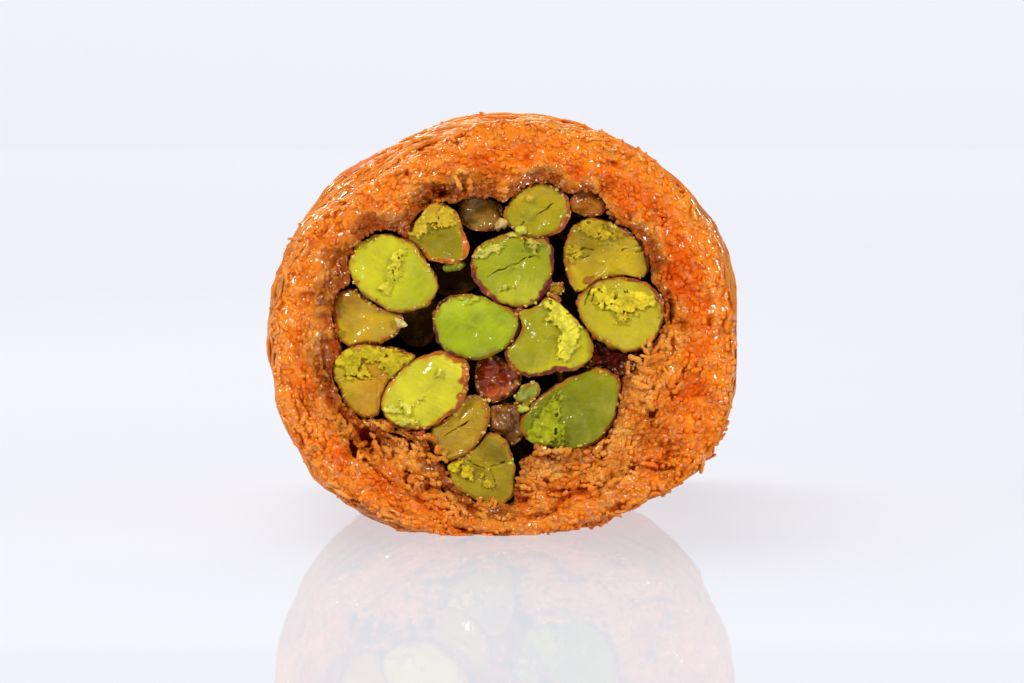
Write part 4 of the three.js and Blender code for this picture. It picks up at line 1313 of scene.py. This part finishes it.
def shreds(name, count, seed):
    """Bent knobbly shreds that lie on the lower half of the near cut, and the ones that hang over it."""
    rng = np.random.default_rng(seed)
    t = np.linspace(0, 1, SHRED_STEPS)
    angle = rng.uniform(-2.75, -0.05, count)
    distance = hollow_reach(angle, FRONT) + 0.1 + 4.6 * rng.uniform(0, 1, count) ** 1.4
    heading = angle + math.pi / 2 + rng.normal(0, 0.4, count)
    bends = heading[:, None] + np.cumsum(rng.normal(0, 0.22, (count, SHRED_STEPS)), axis=1)
    step = rng.uniform(0.06, 0.17, (count, 1))
    x = (distance * np.cos(angle))[:, None] + np.cumsum(step * np.cos(bends), axis=1)
    z = (distance * np.sin(angle))[:, None] + np.cumsum(step * np.sin(bends), axis=1)
    for line in HANGING:
        places = np.array(line)
        steps = np.linspace(0, 1, len(line))
        x = np.append(x, [np.interp(t, steps, places[:, 0])], axis=0)
        z = np.append(z, [np.interp(t, steps, places[:, 1])], axis=0)
    turn, away = np.arctan2(z, x), np.hypot(x, z)
    depth = face_depth(turn, np.maximum(away, hollow_reach(turn, FRONT)), FRONT)
    wave = 0.2 * cloud(across(x, z), 0.9, seed, 2) + 0.25 * (2 * t - 1) ** 4
    points = across(x, z, FRONT + np.clip(depth, 0, 1.2) + 0.06 + wave)
    thick = rng.uniform(0.7, 1.15, (len(x), 1)) * (1 + rng.uniform(-0.38, 0.38, x.shape))
    thick *= 1 - 0.5 * np.abs(2 * t - 1) ** 7
    mesh, place = threads(name, points, thick, SHRED_RADIUS)
    own = np.repeat(rng.uniform(0, 1, len(x)), len(place) // len(x))
    turn, away = np.arctan2(place[:, 2], place[:, 0]), np.hypot(place[:, 0], place[:, 2])
    tan_here = np.clip(tan_share(turn, away, FRONT), 0, 1.2)
    values = {"tan": tan_here, "deep": 0.08, "rim": 0.0, "pale": 0.4 + 0.55 * own}
    return put(name, mesh, place, strand_finish, ["kataifi_pastry"], values)


shreds("torn_shreds", 220, 301)

# ---- Crumbs on the near cut --------------------------------------------------------------------------
# The knife drags crumbs of nut and pastry over the cut, and they stick to the wet skins and in the gaps.
CRUMB_COLOURS = [(206, 150, 60), (184, 108, 34), (196, 186, 56), (150, 78, 30), (214, 172, 96)]
# Crumbs that stand out: across, up, how far back, half size and colour.
LONE_CRUMBS = [
    (-0.1, 9.9, 0.6, 0.6, (196, 160, 96)), (1.76, 9.25, 0.4, 0.45, (180, 176, 60)),
    (-4.9, 5.8, 1.6, 0.6, (150, 156, 40)), (-4.1, 5.95, 1.7, 0.5, (168, 170, 52)),
    (-9.7, 0.6, 0.9, 0.5, (214, 190, 120)), (-9.2, 9.1, 0.9, 0.5, (196, 78, 24)),
    (8.7, -0.5, 1.0, 0.5, (206, 104, 28)), (1.45, 1.8, 0.9, 0.6, (130, 70, 30)),
    (-6.0, -11.5, 1.0, 0.45, (206, 120, 34)), (3.4, -10.9, 0.7, 0.5, (190, 120, 50)),
    (4.9, 2.9, 0.8, 0.5, (160, 90, 34)), (8.0, 4.6, 0.6, 0.5, (150, 96, 30)),
    (1.9, -7.5, 0.6, 0.5, (176, 180, 60)),
]


def crumbs(name, edges, each, seed):
    """Lumpy crumbs: some at the edge of each kernel's cut, and the ones that stand out."""
    rng = np.random.default_rng(seed)
    picked = np.concatenate([edge[rng.integers(0, len(edge), each)] for edge in edges])
    lone = np.array([(x, FRONT + back, z) for x, z, back, _, _ in LONE_CRUMBS])
    at = np.concatenate([picked, lone])
    half = np.append(rng.uniform(0.07, 0.19, len(picked)), [row[3] for row in LONE_CRUMBS])
    colours = [CRUMB_COLOURS[k] for k in rng.integers(0, len(CRUMB_COLOURS), len(picked))]
    colours = np.array([linear(colour) for colour in colours + [row[4] for row in LONE_CRUMBS]])
    shape = bmesh.new()
    bmesh.ops.create_uvsphere(shape, u_segments=8, v_segments=6, radius=1)
    mesh, unit = many(shape, len(at))
    lumpy = cloud(unit * 1.3 + 7 * np.arange(len(at))[:, None, None], 1, seed, 2)
    unit = unit * (1 + 0.5 * lumpy)[..., None] * half[:, None, None]
    axis = rng.normal(0, 0.4, (len(at), 3)) + (0, 1, 0)
    unit = turned(unit * (1.2, 0.7, 0.9), axis, rng.uniform(0, TURN, len(at)))
    # Painted light and shade: each crumb is lighter where it bulges and darker where it is dented.
    tints = colours[:, None, :] * (1 + 0.35 * lumpy)[..., None]
    return put(name, mesh, at[:, None, :] + unit, kernel_finish, ["pistachio_filling"],
               {"matt": 0.45}, np.clip(tints, 0.002, 1))


crumbs("crumbs", cut_edges, 16, 401)
